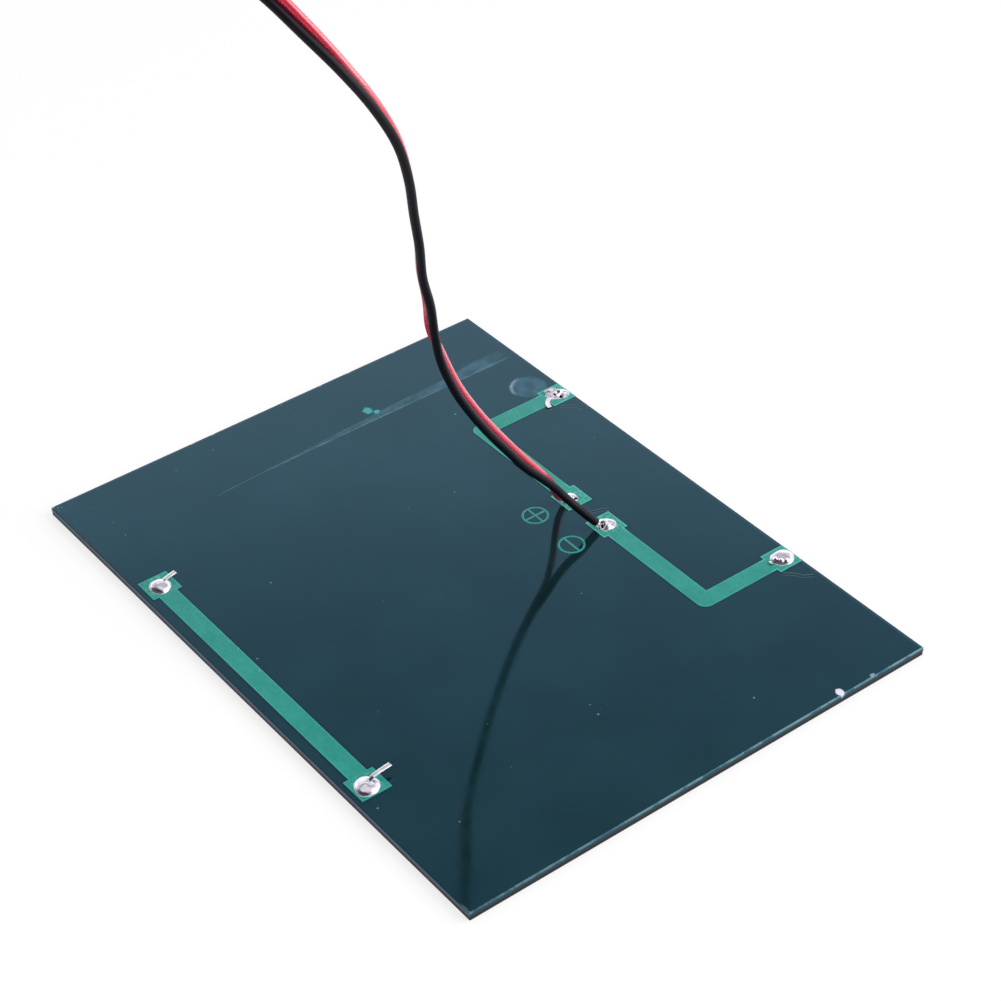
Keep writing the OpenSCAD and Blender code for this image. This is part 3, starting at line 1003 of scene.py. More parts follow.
@dataclass(frozen=True)
class InsulationFinish:
    """Soft plastic of a lead's core, with faint lines from its making and a little dust.

    Attributes:
        name: name of the material.
        color: its own colour.
        worn: colour of its handled parts.
        roughness: middle of its roughness.
        specular: level of its gloss.
        soft: how far light goes into it.
        skin: weight of a smooth skin on it.
        dust: colour of the dust.
    """

    name: str
    color: Color
    worn: Color
    roughness: float
    specular: float
    soft: float = 0.0
    skin: float = 0.0
    dust: Color = srgb(170, 165, 170)

    def material(self) -> bpy.types.Material:
        """Builds the material; the lines follow the core by its UV map.

        Returns:
            The material.
        """
        made, graph, shader = new_material(self.name)
        place = graph.millimetres()
        along = graph.vector("MULTIPLY", graph.node("ShaderNodeTexCoord").outputs["UV"], (40.0, 6.0, 1.0))
        drawn = graph.noise(along, 1.0, 2.0, 0.4)
        cloud = graph.use(EFFECTS.mottle, Place=place, Scale=0.18, Low=0.0, High=0.6)
        specks = graph.use(EFFECTS.specks, Place=place, Spacing=1.6, Share=0.2, Size=0.14)
        rough = graph.remap(drawn, 0.3, 0.7, self.roughness - 0.05, self.roughness + 0.08)
        graph.fill(shader, {
            "Base Color": graph.layered(self.color, ((cloud, 1.0, self.worn), (specks, 0.3, self.dust))),
            "Roughness": graph.math("MULTIPLY_ADD", specks, 0.3, rough),
            "Normal": graph.bump(drawn, 0.01),
            "Specular IOR Level": self.specular,
            "Subsurface Weight": self.soft,
            "Subsurface Radius": (1.0, 0.35, 0.35),
            "Subsurface Scale": 1.5 * MM,
            "Coat Weight": self.skin,
            "Coat Roughness": 0.12,
        })
        return made


@dataclass(frozen=True)
class CellFinish:
    """Blue crystalline silicon with fine printed lines and a bus line under each ribbon."""

    name: str = "cell"
    dark: Color = srgb(16, 24, 62)
    light: Color = srgb(34, 52, 118)
    silver: Color = srgb(188, 192, 198)
    pitch: float = 1.55
    line_w: float = 0.09
    bus_w: float = 1.2

    def material(self) -> bpy.types.Material:
        """Builds the material; printed lines lie across the strings, bus lines along them.

        Returns:
            The material.
        """
        made, graph, shader = new_material(self.name)
        place = graph.millimetres()
        x, y, _ = graph.axes(place)
        flakes = graph.wired("ShaderNodeTexVoronoi", {"Vector": place, "Scale": 0.33}, "Color")
        shade = graph.axes(flakes)[0]
        wave = graph.math("PINGPONG", y, self.pitch / 2)
        metal = [graph.remap(wave, self.line_w, self.line_w * 0.5)]
        for middle in (STRING_A_X, STRING_B_X):
            away = graph.math("ABSOLUTE", graph.math("SUBTRACT", x, middle))
            metal.append(graph.remap(away, self.bus_w / 2 + 0.03, self.bus_w / 2 - 0.03))
        printed = graph.highest(metal)
        graph.fill(shader, {
            "Base Color": graph.blend(printed, graph.blend(shade, self.dark, self.light), self.silver),
            "Roughness": graph.remap(shade, 0.0, 1.0, 0.22, 0.4),
            "Metallic": graph.product(printed, 0.8),
        })
        return made


@dataclass(frozen=True)
class ClearFinish:
    """Clear plastic with a faint tint and a slightly uneven face, dull along its cut edge and painted near
    black there as painted shade.
    """

    name: str = "clear_layer"
    clear: Color = srgb(236, 240, 244)
    tint: Color = srgb(222, 230, 240)
    # painted shade: near-black colour of the clear layer's edge
    cut: Color = srgb(1, 4, 12)
    sawn: float = 0.6
    ior: float = 1.48

    def material(self) -> bpy.types.Material:
        """Builds the material.

        Returns:
            The material.
        """
        made, graph, shader = new_material(self.name)
        place = graph.millimetres()
        cloud = graph.use(EFFECTS.mottle, Place=place, Scale=0.08)
        beyond = graph.use(EFFECTS.plate, Place=place, Half=(RIGHT_X, BACK_Y, 0.0))
        rough = graph.use(EFFECTS.mottle, Place=place, Scale=0.5, Low=0.02, High=0.09)
        body = graph.blend(cloud, self.clear, self.tint)
        graph.fill(shader, {
            # the edge within half a millimetre of the outline is painted near black as painted shade
            "Base Color": graph.blend(graph.remap(beyond, -0.5, -0.2), body, self.cut),
            "Roughness": graph.math("MULTIPLY_ADD", graph.remap(beyond, -0.06, -0.04), self.sawn, rough),
            "Transmission Weight": 1.0,
            "IOR": self.ior,
        })
        return made


def dress(piece: bpy.types.Object, material: bpy.types.Material) -> None:
    """Gives a piece or a shown CAD node its material, in place of any that it had.

    Args:
        piece: the piece or node.
        material: its material.
    """
    piece.data.materials.clear()
    piece.data.materials.append(material)


# Pieces


@dataclass
class Laminate:
    """Clear layers under the board as one slab, a hair inside its edge and let into its underside."""

    setback: float = 0.02
    bite: float = 0.02
    corner: float = 0.15
    least_corner: float = 0.02
    break_edge: float = 0.05
    seam_depth: float = 0.015
    seam_half: float = 0.01
    sides: int = 40
    finish: ClearFinish = ClearFinish()

    def _ring(self, inset: float, height: float) -> np.ndarray:
        """Rounded rectangle: each quarter of a circle moved out to its corner.

        Args:
            inset: distance inside the panel's edge.
            height: height above the underside.

        Returns:
            The ring, n by 3.
        """
        angle = whole_turn(self.sides) + np.pi / self.sides
        radius = max(self.corner - inset, self.least_corner)
        half = np.array([RIGHT_X, BACK_Y]) - inset - radius
        way = np.stack([np.cos(angle), np.sin(angle)], axis=1)
        return np.column_stack([np.sign(way) * half + radius * way, np.full(self.sides, height)])

    def build(self) -> bpy.types.Object:
        """Rings of the outline at each height, closed above and below, with a fine seam at the film.

        Returns:
            The piece.
        """
        rings = [
            self._ring(self.setback + inset, height)
            for inset, height in (
                (self.break_edge, 0.0),
                (0.0, self.break_edge),
                (0.0, FILM_T - self.seam_half),
                (self.seam_depth, FILM_T),
                (0.0, FILM_T + self.seam_half),
                (0.0, BOARD_Z + self.bite),
            )
        ]
        piece = mesh_object("clear_laminate", [Grid(np.stack(rings))], sharp_deg=20.0)
        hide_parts("front_film", "encapsulant")
        dress(piece, self.finish.material())
        return piece


class Core(Enum):
    """The two cores of the lead, with the side of the pair on which each one runs."""

    RED = 1
    BLACK = -1


@dataclass
class TwinLead:
    """Red and black cores that rise from their pads, arch over and end on the table.

    Attributes:
        diameter: outer diameter of a core.
        gap: gap between the two cores.
        conductor: diameter of the bare conductor.
        stub: length of conductor in the solder.
        bare: length of the stripped end.
        hidden: length of conductor inside the insulation's end.
        declared_length: real length of the lead, in metres; not used.
        reference: level direction from which the twist is measured.
        route: middle of the pair, x, y, z and twist in degrees.
        red_split: the red core's own points, from its solder to the pair.
        black_split: the black core's own points.
        cut_rings: places of the rings that round off a cut end.
        ridge_deg: half angle of the ridge that joins the cores.
        span_steps: rings of a core from one route point to the next.
        sides: points of each ring.
        end_round: length over which a cut end is rounded off.
        end_draw: share of the radius that is lost there.
        joining: length over which the ridge grows where the cores meet.
        ridge_lift: height of the ridge above half the gap.
        strands: number of lobes of a bare conductor.
        strand_sides: points of each of its rings.
        strand_step: distance between its rings.
        strand_depth: depth of the lobes as a share of the radius.
        strand_turn: turn of the lobes for each millimetre, in radians.
        tip: length of its rounded tip.
        tip_draw: share of the radius that is lost there.
        red: finish of the red core.
        black: finish of the black core.
    """

    diameter: float = 1.35
    gap: float = 0.1
    conductor: float = 0.6
    stub: float = 1.0
    bare: float = 6.0
    hidden: float = 0.3
    declared_length: float = 0.3
    reference: tuple[float, float, float] = (0.4, -0.9, 0.0)
    route: tuple[tuple[float, float, float, float], ...] = (
        (-0.7, 12.3, 17, -110), (-0.7, 8.9, 22, -110), (-0.2, 5.9, 26.5, -110), (0.8, 1.9, 33, -110),
        (1.9, -1.6, 39.5, -110), (2.4, -4.1, 46, -115), (3.4, -6.1, 52.5, -148), (4.5, -7.1, 58, -142),
        (5.5, -8.6, 64, -130), (6.7, -9.5, 70, -126), (7.7, -10.7, 76, -126), (8.4, -11.6, 82, -126),
        (8.5, -13, 88, -122), (7.3, -15.4, 94, -110), (5.1, -18.3, 99.5, -95), (1.5, -21.1, 104.5, -68),
        (-2.8, -23.7, 109, -48), (-8.8, -26.4, 112.5, -40), (-16.6, -29.3, 115, -45),
        (-26.3, -32.3, 115.5, -55), (-37.6, -36.3, 113, -65), (-48.5, -40.2, 107.5, -75),
        (-58.9, -43.7, 98, -80), (-68.3, -46.6, 85, -85), (-75.6, -49.1, 69, -90), (-80.3, -50.5, 52, -90),
        (-82.9, -51.5, 35, -90), (-84.5, -52, 19.5, -95), (-86, -52, 9.5, -100), (-90, -51, 2.5, -100),
        (-96, -48.5, 0.8, -95), (-102.5, -45.5, 0.8, -90),
    )
    red_split: tuple[tuple[float, float, float], ...] = (
        (-4.69, 22.78, 2.5), (-4.45, 21.68, 3.45), (-4.05, 20.74, 4.85), (-3.46, 19.85, 6.6),
        (-2.46, 18.51, 9.1), (-1.27, 16.32, 12.2),
    )
    black_split: tuple[tuple[float, float, float], ...] = (
        (3.81, 22.69, 2.6), (3.31, 21.5, 4.1), (2.61, 20.11, 6), (1.51, 18.71, 8), (0.61, 17.12, 10.4),
        (0.31, 15.03, 13),
    )
    cut_rings: tuple[float, ...] = (0.0, 0.03, 0.09, 0.2)
    ridge_deg: float = 12.6
    span_steps: int = 8
    sides: int = 28
    end_round: float = 0.12
    end_draw: float = 0.13
    joining: float = 3.0
    ridge_lift: float = 0.02
    strands: int = 7
    strand_sides: int = 42
    strand_step: float = 0.12
    strand_depth: float = 0.07
    strand_turn: float = 0.55
    tip: float = 0.35
    tip_draw: float = 0.45
    red: InsulationFinish = InsulationFinish(
        "red_insulation", srgb(198, 36, 72), srgb(188, 30, 66), 0.3, 0.6, soft=0.8, skin=1.0
    )
    black: InsulationFinish = InsulationFinish(
        "black_insulation", srgb(16, 12, 20), srgb(22, 18, 27), 0.42, 0.15
    )

    def path(self, core: Core) -> np.ndarray:
        """Route points of one core: its own split, then the pair's middle plus half the pitch at the twist.

        Args:
            core: which of the two cores.

        Returns:
            The points, n by 3, in millimetres.
        """
        table = np.array(self.route, float)
        middle, twist = table[:, :3], np.radians(table[:, 3])[:, None]
        chords = np.vstack([middle[1:2] - middle[:1], middle[2:] - middle[:-2], middle[-1:] - middle[-2:-1]])
        first, second = side_axes(unit(chords), self.reference)
        offset = (self.diameter + self.gap) / 2 * (np.cos(twist) * first + np.sin(twist) * second)
        split = np.array(self.red_split if core is Core.RED else self.black_split, float)
        return np.vstack([split, middle + core.value * offset])

    def _ridge(self, core: Core, points: np.ndarray, places: np.ndarray, angle: np.ndarray) -> np.ndarray:
        """Low ridge on the side of the twin core: a bell over the angle, from where the cores have met.

        Args:
            core: which of the two cores.
            points: its route points.
            places: lengths along the core at which its rings lie.
            angle: angles of the points of a ring, 1 by m.

        Returns:
            The ridge's height on each ring at each angle.
        """
        knots = reach_along(points)[len(points) - len(self.route):]
        facing = np.array([row[3] for row in self.route]) + (180 if core is Core.RED else 0)
        twist = np.radians(np.interp(places, knots, facing))[:, None]
        joined = np.clip((places - knots[0]) / self.joining + 0.5, 0, 1)[:, None]
        turn = (angle - twist + np.pi) % (2 * np.pi) - np.pi
        bell = np.exp(-((turn / math.radians(self.ridge_deg)) ** 2))
        return joined * (self.gap / 2 + self.ridge_lift) * bell

    def _insulation(self, core: Core) -> tuple[bpy.types.Object, np.ndarray]:
        """Tube of one core: a circle with a low ridge on the side of its twin, rounded off at both cut ends.

        Args:
            core: which of the two cores.

        Returns:
            The tube and the points of its middle line.
        """
        points = self.path(core)
        curve = smooth_curve(points, self.span_steps)
        reach = reach_along(curve)
        ends = np.array(self.cut_rings)
        places = np.unique(np.concatenate([ends, reach, reach[-1] - ends]))
        middle = points_at(curve, places)
        edge = np.minimum(places, places[-1] - places)
        near_end = np.clip(1 - edge / self.end_round, 0, 1)
        radius = self.diameter / 2 * (1 - self.end_draw * near_end**2)
        angle = whole_turn(self.sides)[None]
        radii = radius[:, None] + self._ridge(core, points, places, angle)
        name = f"{core.name.lower()}_core"
        tube = mesh_object(name, [Grid(swept(middle, self.reference, radii, angle))], sharp_deg=60.0)
        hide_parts(f"{core.name.lower()}_lead")
        return tube, middle

    def _strands(self, name: str, start: np.ndarray, way: np.ndarray, length: float) -> bpy.types.Object:
        """Tinned strands: a circle with seven shallow lobes that turns as it goes along a straight line.

        Args:
            name: name of the piece.
            start: where the insulation ends.
            way: unit direction in which the conductor leaves it.
            length: length outside the insulation.

        Returns:
            The piece.
        """
        whole = length + self.hidden
        place = np.linspace(0, whole, max(int(whole / self.strand_step), 8))
        curve = start + (place[:, None] - self.hidden) * way
        angle = whole_turn(self.strand_sides)[None]
        turn = (place * self.strand_turn)[:, None]
        near_tip = np.clip(1 - (whole - place) / self.tip, 0, 1)[:, None]
        lobes = 1 - self.strand_depth * (1 - np.cos(self.strands * (angle - turn)))
        radii = self.conductor / 2 * (1 - self.tip_draw * near_tip**2) * lobes
        return mesh_object(name, [Grid(swept(curve, self.reference, radii, angle))], sharp_deg=70.0)

    def build(self, tinned: bpy.types.Material) -> list[bpy.types.Object]:
        """Builds both cores with their bare ends.

        Args:
            tinned: material of the bare conductors.

        Returns:
            The pieces.
        """
        made = []
        for core in Core:
            name = core.name.lower()
            tube, middle = self._insulation(core)
            finish = self.red if core is Core.RED else self.black
            dress(tube, finish.material())
            points = self.path(core)
            into, out = unit(points[0] - points[1]), unit(points[-1] - points[-2])
            stub = self._strands(f"{name}_stub_strands", points[0], into, self.stub)
            bare = self._strands(f"{name}_end_strands", points[-1], out, self.bare)
            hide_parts(f"{name}_stub")
            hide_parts(f"{name}_bare_end")
            for piece in (stub, bare):
                dress(piece, tinned)
            made += [tube, stub, bare]
        return made


class Joint(Enum):
    """Kinds of solder joint: a full smooth dome, or one that set in facets."""

    DOMED = 0
    FACETED = 1


@dataclass
class SolderJoint:
    """One solder joint on a pad.

    Attributes:
        node: name of the solid that it replaces.
        x: its middle along X.
        y: its middle along Y.
        diameter: width of its foot.
        height: height of its top above the pad.
        kind: smooth or faceted.
        stretch: factors along its own two axes.
        turn_deg: angle of its own axes.
        seed: picks the waves of its edge and its facets.
        crumple: depth of its creases as a share of its height.
        lumps: small bells on it, each with its place from the middle, its size and its height.
        profile: shares of radius and height from the foot to the top.
    """

    node: str
    x: float
    y: float
    diameter: float
    height: float
    kind: Joint = Joint.DOMED
    stretch: tuple[float, float] = (1.0, 1.0)
    turn_deg: float = 0.0
    seed: float = 0.0
    crumple: float = 0.0
    lumps: tuple[tuple[float, float, float, float], ...] = ()
    profile: Path = (
        (1.06, 0.0), (1.01, 0.04), (0.98, 0.12), (0.945, 0.25), (0.88, 0.44), (0.78, 0.62), (0.65, 0.77),
        (0.5, 0.88), (0.33, 0.95), (0.16, 0.99), (0.04, 1.0),
    )

    def _cut(self, across: np.ndarray, along: np.ndarray) -> np.ndarray:
        """Top of a faceted joint: the lowest of nine slanting planes, each leaning its own way.

        The planes' directions go round by the golden angle, and their slopes and starts by steps of
        other fixed shares, so that neighbours are unlike.

        Args:
            across: places along the joint's first axis, as shares of its radius.
            along: places along its second axis, as shares of its radius.

        Returns:
            The height as a share of the joint's height.
        """
        count = np.arange(9)[:, None, None]
        way = self.seed + GOLDEN_ANGLE * count
        slope = 0.5 + 1.4 * ((1.7 * self.seed + GOLDEN_SHARE * count) % 1.0)
        start = -0.15 + 0.6 * ((2.3 * self.seed + PLASTIC_SHARE * count) % 1.0)
        planes = 1.0 - slope * (across * np.cos(way) + along * np.sin(way) - start)
        return planes.min(axis=0)

    def _creases(self, across: np.ndarray, along: np.ndarray) -> np.ndarray:
        """Creases in the top: the mean of four rectified sine waves, each across its own direction.

        Args:
            across: places along the joint's first axis, as shares of its radius.
            along: places along its second axis, as shares of its radius.

        Returns:
            The depth, 0 on the ridges and towards 1 in the creases.
        """
        count = np.arange(4)[:, None, None]
        way = 0.9 * self.seed + np.pi / 4 * count + 0.3 * np.sin(5 * self.seed + count)
        pitch = 2.1 + 1.9 * ((1.3 * self.seed + GOLDEN_SHARE * count) % 1.0)
        waves = np.abs(np.sin(pitch * (across * np.cos(way) + along * np.sin(way)) + 2.7 * self.seed + count))
        return 1 - waves.mean(axis=0)

    def build(self, material: bpy.types.Material) -> bpy.types.Object:
        """Dome over a pad: a profile from a thin foot up a steep side to a flat top, turned round the middle.

        The foot's edge wanders with a few slow waves. A faceted joint is cut down to its planes, creases are
        sunk into the top, and every lump is a small bell added on top.

        Args:
            material: the solder's material.

        Returns:
            The piece.
        """
        corners = np.column_stack([np.array(self.profile), np.zeros(len(self.profile))])
        share, rise, _ = smooth_curve(corners, 6).T[:, :, None]
        angle = whole_turn(96)[None]
        waves = ((0.035, 2, 1.0), (0.025, 3, 2.1), (0.012, 5, 3.7))
        wander = 1 + sum(depth * np.cos(count * angle + step * self.seed) for depth, count, step in waves)
        across, along = share * wander * np.cos(angle), share * wander * np.sin(angle)
        height = rise * (1 + 0.04 * np.cos(angle + self.seed))
        if self.kind is Joint.FACETED:
            height = np.clip(self._cut(across, along), 0.3 * height, height)
        height = height * (1 - self.crumple * self._creases(across, along)) * self.height
        across, along = (
            place * self.diameter / 2 * factor for place, factor in zip((across, along), self.stretch)
        )
        for lump_x, lump_y, size, tall in self.lumps:
            away = ((across - lump_x) ** 2 + (along - lump_y) ** 2) / size**2
            height = height + tall * np.exp(-away) * np.minimum(rise * 4, 1)
        turn = math.radians(self.turn_deg)
        x = self.x + math.cos(turn) * across - math.sin(turn) * along
        y = self.y + math.sin(turn) * across + math.cos(turn) * along
        points = np.stack([x, y, PAD_Z + np.maximum(height, 0)], axis=-1)
        grid = Grid(points, start=np.array([self.x, self.y, PAD_Z]))
        piece = mesh_object(f"{self.node}_dome", [grid], sharp_deg=80.0)
        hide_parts(self.node)
        dress(piece, material)
        return piece


@dataclass(frozen=True)
class Sliver:
    """Sliver of solder that was drawn out of a joint as it set: points of its middle line and its section."""

    name: str
    points: tuple[tuple[float, float, float], ...]
    width: float
    thickness: float

    def build(self, material: bpy.types.Material) -> bpy.types.Object:
        """Flat strip along a smooth line, with its width level.

        Args:
            material: the solder's material.

        Returns:
            The piece.
        """
        curve = smooth_curve(np.array(self.points), 8)
        rings = strip(curve, level_across(directions(curve)), self.width, self.thickness)
        piece = mesh_object(self.name, [Grid(rings)], sharp_deg=50.0)
        dress(piece, material)
        return piece


@dataclass
class EndRibbon:
    """Tinned ribbon from an end cell, up through the board and over its pad, with a free tail.

    Attributes:
        node: name of the solid that it replaces.
        x: its middle along X.
        end: 1 at the back edge, -1 at the front edge.
        run_z: height at which it runs along the cell.
        knee_y: where it leaves the pad.
        tail: free path from the knee: steps away from the edge, sideways and up.
        curl_r: bend radius of a tail that is curled flat.
        curl_deg: angle through which that tail is curled.
        curl_rise: height to which its tip lifts.
        bend: distance from a corner of its path to the ends of the bend.
        spacing: distance between its rings.
    """

    node: str
    x: float
    end: int
    run_z: float
    knee_y: float
    tail: tuple[tuple[float, float, float], ...] = ()
    curl_r: float = 0.0
    curl_deg: float = 0.0
    curl_rise: float = 0.12
    bend: float = 0.16
    spacing: float = 0.1

    def _tail(self) -> np.ndarray:
        """Points of the free tail: a flat arc whose tip lifts, or straight steps.

        Returns:
            The points, n by 3.
        """
        if self.curl_r:
            turn = np.linspace(0, math.radians(self.curl_deg), 24)[1:]
            away, aside = self.curl_r * np.sin(turn), self.curl_r * (1 - np.cos(turn))
            rise = self.curl_rise * (turn / turn[-1]) ** 2
        else:
            away, aside, rise = np.array(self.tail).T
        return np.stack([self.x + aside, self.knee_y - self.end * away, PAD_RIBBON_Z + rise], axis=1)

    def build(self, material: bpy.types.Material) -> bpy.types.Object:
        """Flat strip carried along the bent path, with its width level past the slot.

        Args:
            material: the ribbon's material.

        Returns:
            The piece.
        """
        corners = np.array([
            [self.x, self.end * RIBBON_END_Y, self.run_z],
            [self.x, self.end * SLOT_Y, self.run_z],
            [self.x, self.end * SLOT_Y, PAD_RIBBON_Z],
            [self.x, self.knee_y, PAD_RIBBON_Z],
        ])
        curve = refined(rounded_path(np.vstack([corners, self._tail()]), self.bend), self.spacing)
        level = level_across(directions(curve)) * self.end
        past_slot = np.arange(len(curve)) > np.argmax(curve[:, 2] > PAD_RIBBON_Z - 0.02) + 3
        across = np.where(past_slot[:, None], level, np.array([1.0, 0.0, 0.0]))
        rings = strip(curve, across, RIBBON_W, RIBBON_T)
        piece = mesh_object(f"{self.node}_strip", [Grid(rings)], sharp_deg=50.0)
        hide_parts(self.node)
        dress(piece, material)
        return piece


class Sign(Enum):
    """Polarity signs on the board, with the directions of their bars in degrees."""

    PLUS = (0.0, 90.0)
    MINUS = (0.0,)


@dataclass
class PolaritySign:
    """Ring with one or two bars, copper under the coating like the tracks."""

    sign: Sign
    x: float
    y: float
    diameter: float = 4.45
    line: float = 0.36
    height: float = 0.03

    def _rings(self, curve: np.ndarray, along: np.ndarray) -> Grid:
        """Low rounded line along a path on the board: a flat super-ellipse, sunk by half into the coating.

        Args:
            curve: points of the line, n by 3.
            along: unit direction at each point, n by 3.

        Returns:
            The closed surface.
        """
        across, upward = level_across(along), np.array([0.0, 0.0, 1.0])
        wide, tall = flat_oval(12, 0.5, self.line, 2 * self.height)
        return Grid(curve[:, None] + wide[None, :, None] * across[:, None] + tall[None, :, None] * upward)

    def build(self, material: bpy.types.Material) -> bpy.types.Object:
        """Builds the ring and the bars as one piece.

        Args:
            material: material of the tracks.

        Returns:
            The piece.
        """
        middle = np.array([self.x, self.y, TOP_Z])
        radius = (self.diameter - self.line) / 2
        turn = np.linspace(0, 2 * np.pi, 73)
        out = np.stack([np.cos(turn), np.sin(turn), np.zeros(len(turn))], axis=1)
        round_way = np.stack([-np.sin(turn), np.cos(turn), np.zeros(len(turn))], axis=1)
        grids = [self._rings(middle + radius * out, round_way)]
        for bar in self.sign.value:
            way = np.array([math.cos(math.radians(bar)), math.sin(math.radians(bar)), 0.0])
            curve = middle + np.linspace(-radius, radius, 12)[:, None] * way
            grids.append(self._rings(curve, directions(curve)))
        piece = mesh_object(f"{self.sign.name.lower()}_sign", grids, sharp_deg=60.0)
        dress(piece, material)
        return piece


@dataclass
class Panel:
    """The panel's own solids, dressed where they are, and the pieces on the board."""

    board: BoardFinish = BoardFinish()
    tracks: TrackFinish = TrackFinish()
    cells: CellFinish = CellFinish()
    solder: MetalFinish = MetalFinish(
        "solder", srgb(226, 222, 234), srgb(198, 194, 210), 0.12, 0.36, 1.1, 0.012
    )
    ribbon: MetalFinish = MetalFinish(
        "tinned_ribbon", srgb(238, 237, 242), srgb(212, 210, 220), 0.14, 0.26, 0.9, 0.01
    )
    joints: tuple[SolderJoint, ...] = (
        SolderJoint("solder_link_a", STRING_A_X + 0.3, LINK_Y - 0.1, 3.4, 0.8, seed=0.4, crumple=0.12),
        SolderJoint(
            "solder_link_b", STRING_B_X + 0.3, LINK_Y - 0.3, 3.8, 0.8, turn_deg=20, seed=1.9, crumple=0.25
        ),
        SolderJoint(
            "solder_positive", STRING_A_X, BUS_SOLDER_Y, 3.4, 0.75, Joint.FACETED, (1.15, 0.85), 64,
            seed=0.8, crumple=0.75,
            lumps=(
                (-1.3, 0.9, 0.45, 0.3), (0.55, 0.35, 0.4, 0.25), (1.2, -0.4, 0.35, 0.2),
                (0.45, -0.85, 0.3, -0.6), (0.0, 0.05, 0.25, -0.4), (-0.7, -0.5, 0.25, -0.3),
            ),
        ),
        SolderJoint(
            "solder_negative", STRING_B_X, BUS_SOLDER_Y, 3.6, 0.8, seed=3.1, crumple=0.08,
            lumps=((0.9, -1.1, 0.33, 0.35), (1.45, -0.35, 0.35, 0.3), (0.0, -1.55, 0.3, 0.35)),
        ),
        SolderJoint(
            "solder_plus_wire", PLUS_PAD_X, WIRE_PAD_Y - 0.4, 2.7, 0.9, Joint.FACETED, seed=2.2, crumple=0.6,
            lumps=((0.5, 0.6, 0.4, -0.3), (0.8, 0.1, 0.3, 0.2)),
        ),
        SolderJoint(
            "solder_minus_wire", MINUS_PAD_X, WIRE_PAD_Y, 3.0, 0.9, Joint.FACETED, seed=4.4, crumple=0.6,
            lumps=(
                (-0.2, -0.5, 0.36, -0.5), (0.2, -0.9, 0.3, -0.35),
                (0.6, 0.7, 0.3, -0.2), (0.7, -0.3, 0.4, 0.2),
            ),
        ),
    )
    ribbons: tuple[EndRibbon, ...] = (
        EndRibbon(
            "ribbon_link_a", STRING_A_X, -1, FRONT_RIBBON_Z, LINK_Y - 0.325,
            ((1.3, 0.0, 0.7), (2.3, -0.06, 0.9), (3.4, -0.2, 1.0)),
        ),
        EndRibbon(
            "ribbon_link_b", STRING_B_X, -1, BACK_RIBBON_Z, LINK_Y - 0.325,
            ((1.3, 0.0, 1.0), (2.8, -0.05, 1.22), (4.5, -0.15, 1.3)),
        ),
        EndRibbon(
            "ribbon_positive", STRING_A_X, 1, BACK_RIBBON_Z, BUS_SOLDER_Y - 0.85, curl_r=2.6, curl_deg=85
        ),
        EndRibbon(
            "ribbon_negative", STRING_B_X, 1, FRONT_RIBBON_Z, BUS_SOLDER_Y - 1.8,
            ((0.4, 0.0, 0.13), (0.8, 0.0, 0.3)),
        ),
    )
    sliver: Sliver = Sliver(
        "positive_sliver",
        ((-29.2, 40.7, 1.85), (-30.0, 40.5, 2.02), (-30.35, 39.7, 2.0), (-30.46, 38.75, 1.85)),
        0.5,
        0.14,
    )
    signs: tuple[PolaritySign, ...] = (
        PolaritySign(Sign.PLUS, -4.95, 17.1),
        PolaritySign(Sign.MINUS, 4.6, 17.0),
    )

    def build(self) -> list[bpy.types.Object]:
        """Dresses the board, tracks, cells and tabs, and builds the solder, the ribbons and the signs.

        Returns:
            The new pieces.
        """
        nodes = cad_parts
        coating, silicon = self.tracks.material(), self.cells.material()
        tinned, solder = self.ribbon.material(), self.solder.material()
        dress(nodes["circuit_board"], self.board.material())
        for part, material in (("_track", coating), ("cell_", silicon), ("tab_", tinned)):
            for name in (name for name in nodes if name.startswith(part) or name.endswith(part)):
                dress(nodes[name], material)
        made = [joint.build(solder) for joint in self.joints]
        made += [ribbon.build(tinned) for ribbon in self.ribbons]
        made.append(self.sliver.build(solder))
        made += [sign.build(coating) for sign in self.signs]
        return made


# Studio


@dataclass(frozen=True)
class Lamp:
    """Square soft lamp that faces the object.

    Attributes:
        name: name of the lamp.
        place: where it stands, in metres.
        side: its side in metres.
        watts: its power.
        mirrored: whether glossy surfaces show it.
    """

    name: str
    place: tuple[float, float, float]
    side: float
    watts: float
    mirrored: bool

    def build(self) -> None:
        """Sets the lamp in the scene."""
        data = bpy.data.lights.new(self.name, "AREA")
        data.size, data.energy = self.side, self.watts
        lamp = bpy.data.objects.new(self.name, data)
        lamp.location = self.place
        lamp.rotation_euler = (-lamp.location).to_track_quat("-Z", "Y").to_euler()
        lamp.visible_glossy = self.mirrored
        bpy.context.scene.collection.objects.link(lamp)


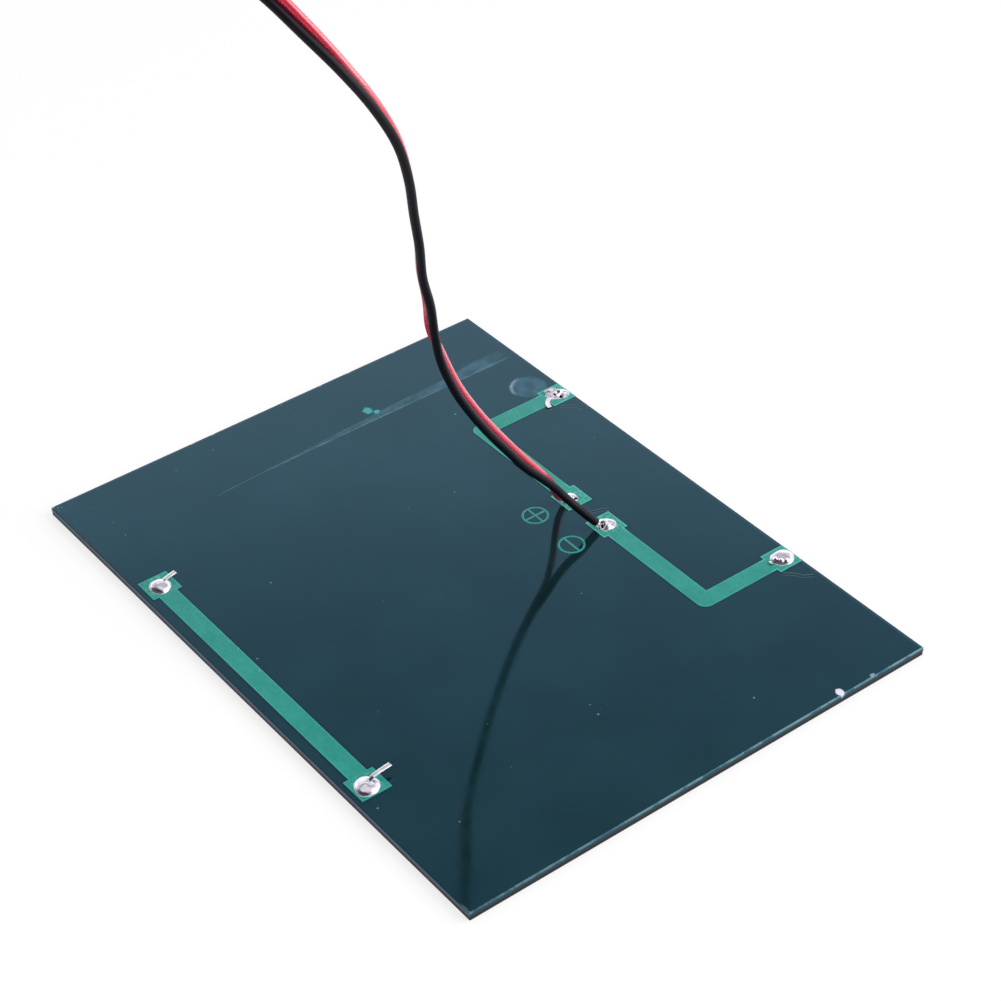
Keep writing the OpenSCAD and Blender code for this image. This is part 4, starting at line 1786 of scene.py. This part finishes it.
@dataclass
class Studio:
    """Pale floor, soft light and the camera.

    Attributes:
        place: where the camera stands, in metres.
        turn_deg: the camera's three angles.
        lens: its focal length for a sensor 36 mm wide.
        floor_half: half the side of the floor, in metres.
        floor_drop: how far the floor lies under the panel, in metres.
        sky: height of a direction and brightness there.
        dim_way: level direction from which little light comes.
        dim_level: share of the sky's brightness there.
        sheet: brightness of the floor as a lit sheet.
        sheet_seen: the same for rays that show it, so that the shadow stays faint.
        glow_seen: light of its own that those rays get.
        lamps: the soft lamps.
    """

    place: tuple[float, float, float] = (0.25598, -0.175064, 0.259793)
    turn_deg: tuple[float, float, float] = (51.77812, 2.19177, 52.87362)
    lens: float = 92.464
    floor_half: float = 4.0
    floor_drop: float = 0.0001
    sky: Path = (
        (0.0, 2.4), (0.2, 2.0), (0.42, 1.25), (0.5, 1.08), (0.56, 1.04), (0.607, 0.98), (0.625, 0.83),
        (0.65, 0.65), (0.69, 0.5), (0.735, 0.42), (0.755, 0.42), (0.82, 0.8), (0.9, 1.05), (1.0, 1.15),
    )
    dim_way: tuple[float, float, float] = (0.25, -0.97, 0.0)
    dim_level: float = 0.07
    sheet: float = 0.8
    sheet_seen: float = 0.25
    glow_seen: float = 0.725
    lamps: tuple[Lamp, ...] = (
        Lamp("softbox", (0.55, 0.6, 0.55), 0.7, 7.0, True),
        Lamp("fill", (0.0, -0.8, 0.5), 0.6, 3.0, False),
    )

    def camera(self) -> None:
        """Sets the camera at the photo's viewing angle."""
        data = bpy.data.cameras.new("camera")
        data.lens, data.sensor_width = self.lens, 36.0
        data.clip_start, data.clip_end = 0.01, 50.0
        made = bpy.data.objects.new("camera", data)
        made.location = self.place
        made.rotation_euler = tuple(math.radians(v) for v in self.turn_deg)
        bpy.context.scene.collection.objects.link(made)
        bpy.context.scene.camera = made

    @staticmethod
    def _ray(graph: Graph, *kinds: str) -> Socket:
        """1 for rays of the named kinds."""
        path = graph.node("ShaderNodeLightPath").outputs
        return graph.highest([path[f"Is {kind} Ray"] for kind in kinds])

    def floor(self) -> bpy.types.Object:
        """Large white sheet that keeps the object's shadow.

        Returns:
            The floor.
        """
        h = self.floor_half
        mesh = bpy.data.meshes.new("floor")
        mesh.from_pydata([(-h, -h, 0), (h, -h, 0), (h, h, 0), (-h, h, 0)], [], [(0, 1, 2, 3)])
        made = bpy.data.objects.new("floor", mesh)
        made.location.z = -self.floor_drop
        bpy.context.scene.collection.objects.link(made)
        material, graph, shader = new_material("floor")
        graph.tree.nodes.remove(shader)
        sheet, shadowed = (
            graph.wired("ShaderNodeBsdfDiffuse", {"Color": (level, level, level, 1)})
            for level in (self.sheet, self.sheet_seen)
        )
        glow = graph.wired("ShaderNodeEmission", {"Strength": self.glow_seen})
        seen = self._ray(graph, "Camera", "Glossy", "Transmission")
        pale = graph.wired("ShaderNodeAddShader", {0: shadowed, 1: glow})
        mixed = graph.wired("ShaderNodeMixShader", {0: seen, 1: sheet, 2: pale})
        result = next(n for n in graph.tree.nodes if n.type == "OUTPUT_MATERIAL")
        graph.fill(result, {"Surface": mixed})
        mesh.materials.append(material)
        return made

    def light(self) -> None:
        """Sky that is white low down, dim higher up, bright overhead and dark on one side, and lamps."""
        world = bpy.data.worlds.new("studio")
        world.use_nodes = True
        bpy.context.scene.world = world
        graph = Graph(world.node_tree)
        ground = next(n for n in graph.tree.nodes if n.type == "BACKGROUND")
        way = graph.node("ShaderNodeTexCoord").outputs["Generated"]
        level = graph.curve(graph.axes(way)[2], self.sky)
        towards = graph.measure("DOT_PRODUCT", way, self.dim_way)
        shaded = graph.product(level, graph.remap(towards, -0.05, 0.45, 1.0, self.dim_level))
        plain = self._ray(graph, "Camera", "Transmission")
        graph.fill(ground, {"Color": graph.blend(plain, shaded, (1, 1, 1, 1))})
        for lamp in self.lamps:
            lamp.build()

    def build(self) -> None:
        """Sets camera, floor and light."""
        self.camera()
        self.floor()
        self.light()
        bpy.context.scene.view_settings.view_transform = "Standard"


def main() -> None:
    """Builds the studio, the lead and the panel in order."""
    logging.basicConfig(level=logging.INFO, format="%(name)s: %(message)s")
    Studio().build()
    conductor = MetalFinish(
        "tinned_conductor", srgb(226, 226, 230), srgb(196, 194, 198), 0.2, 0.36, 1.5, 0.01
    )
    made = TwinLead().build(conductor.material())
    made += Panel().build()
    made.append(Laminate().build())
    for piece in made:
        LOG.info("built %s, %d faces", piece.name, len(piece.data.polygons))


if __name__ == "__main__":
    main()
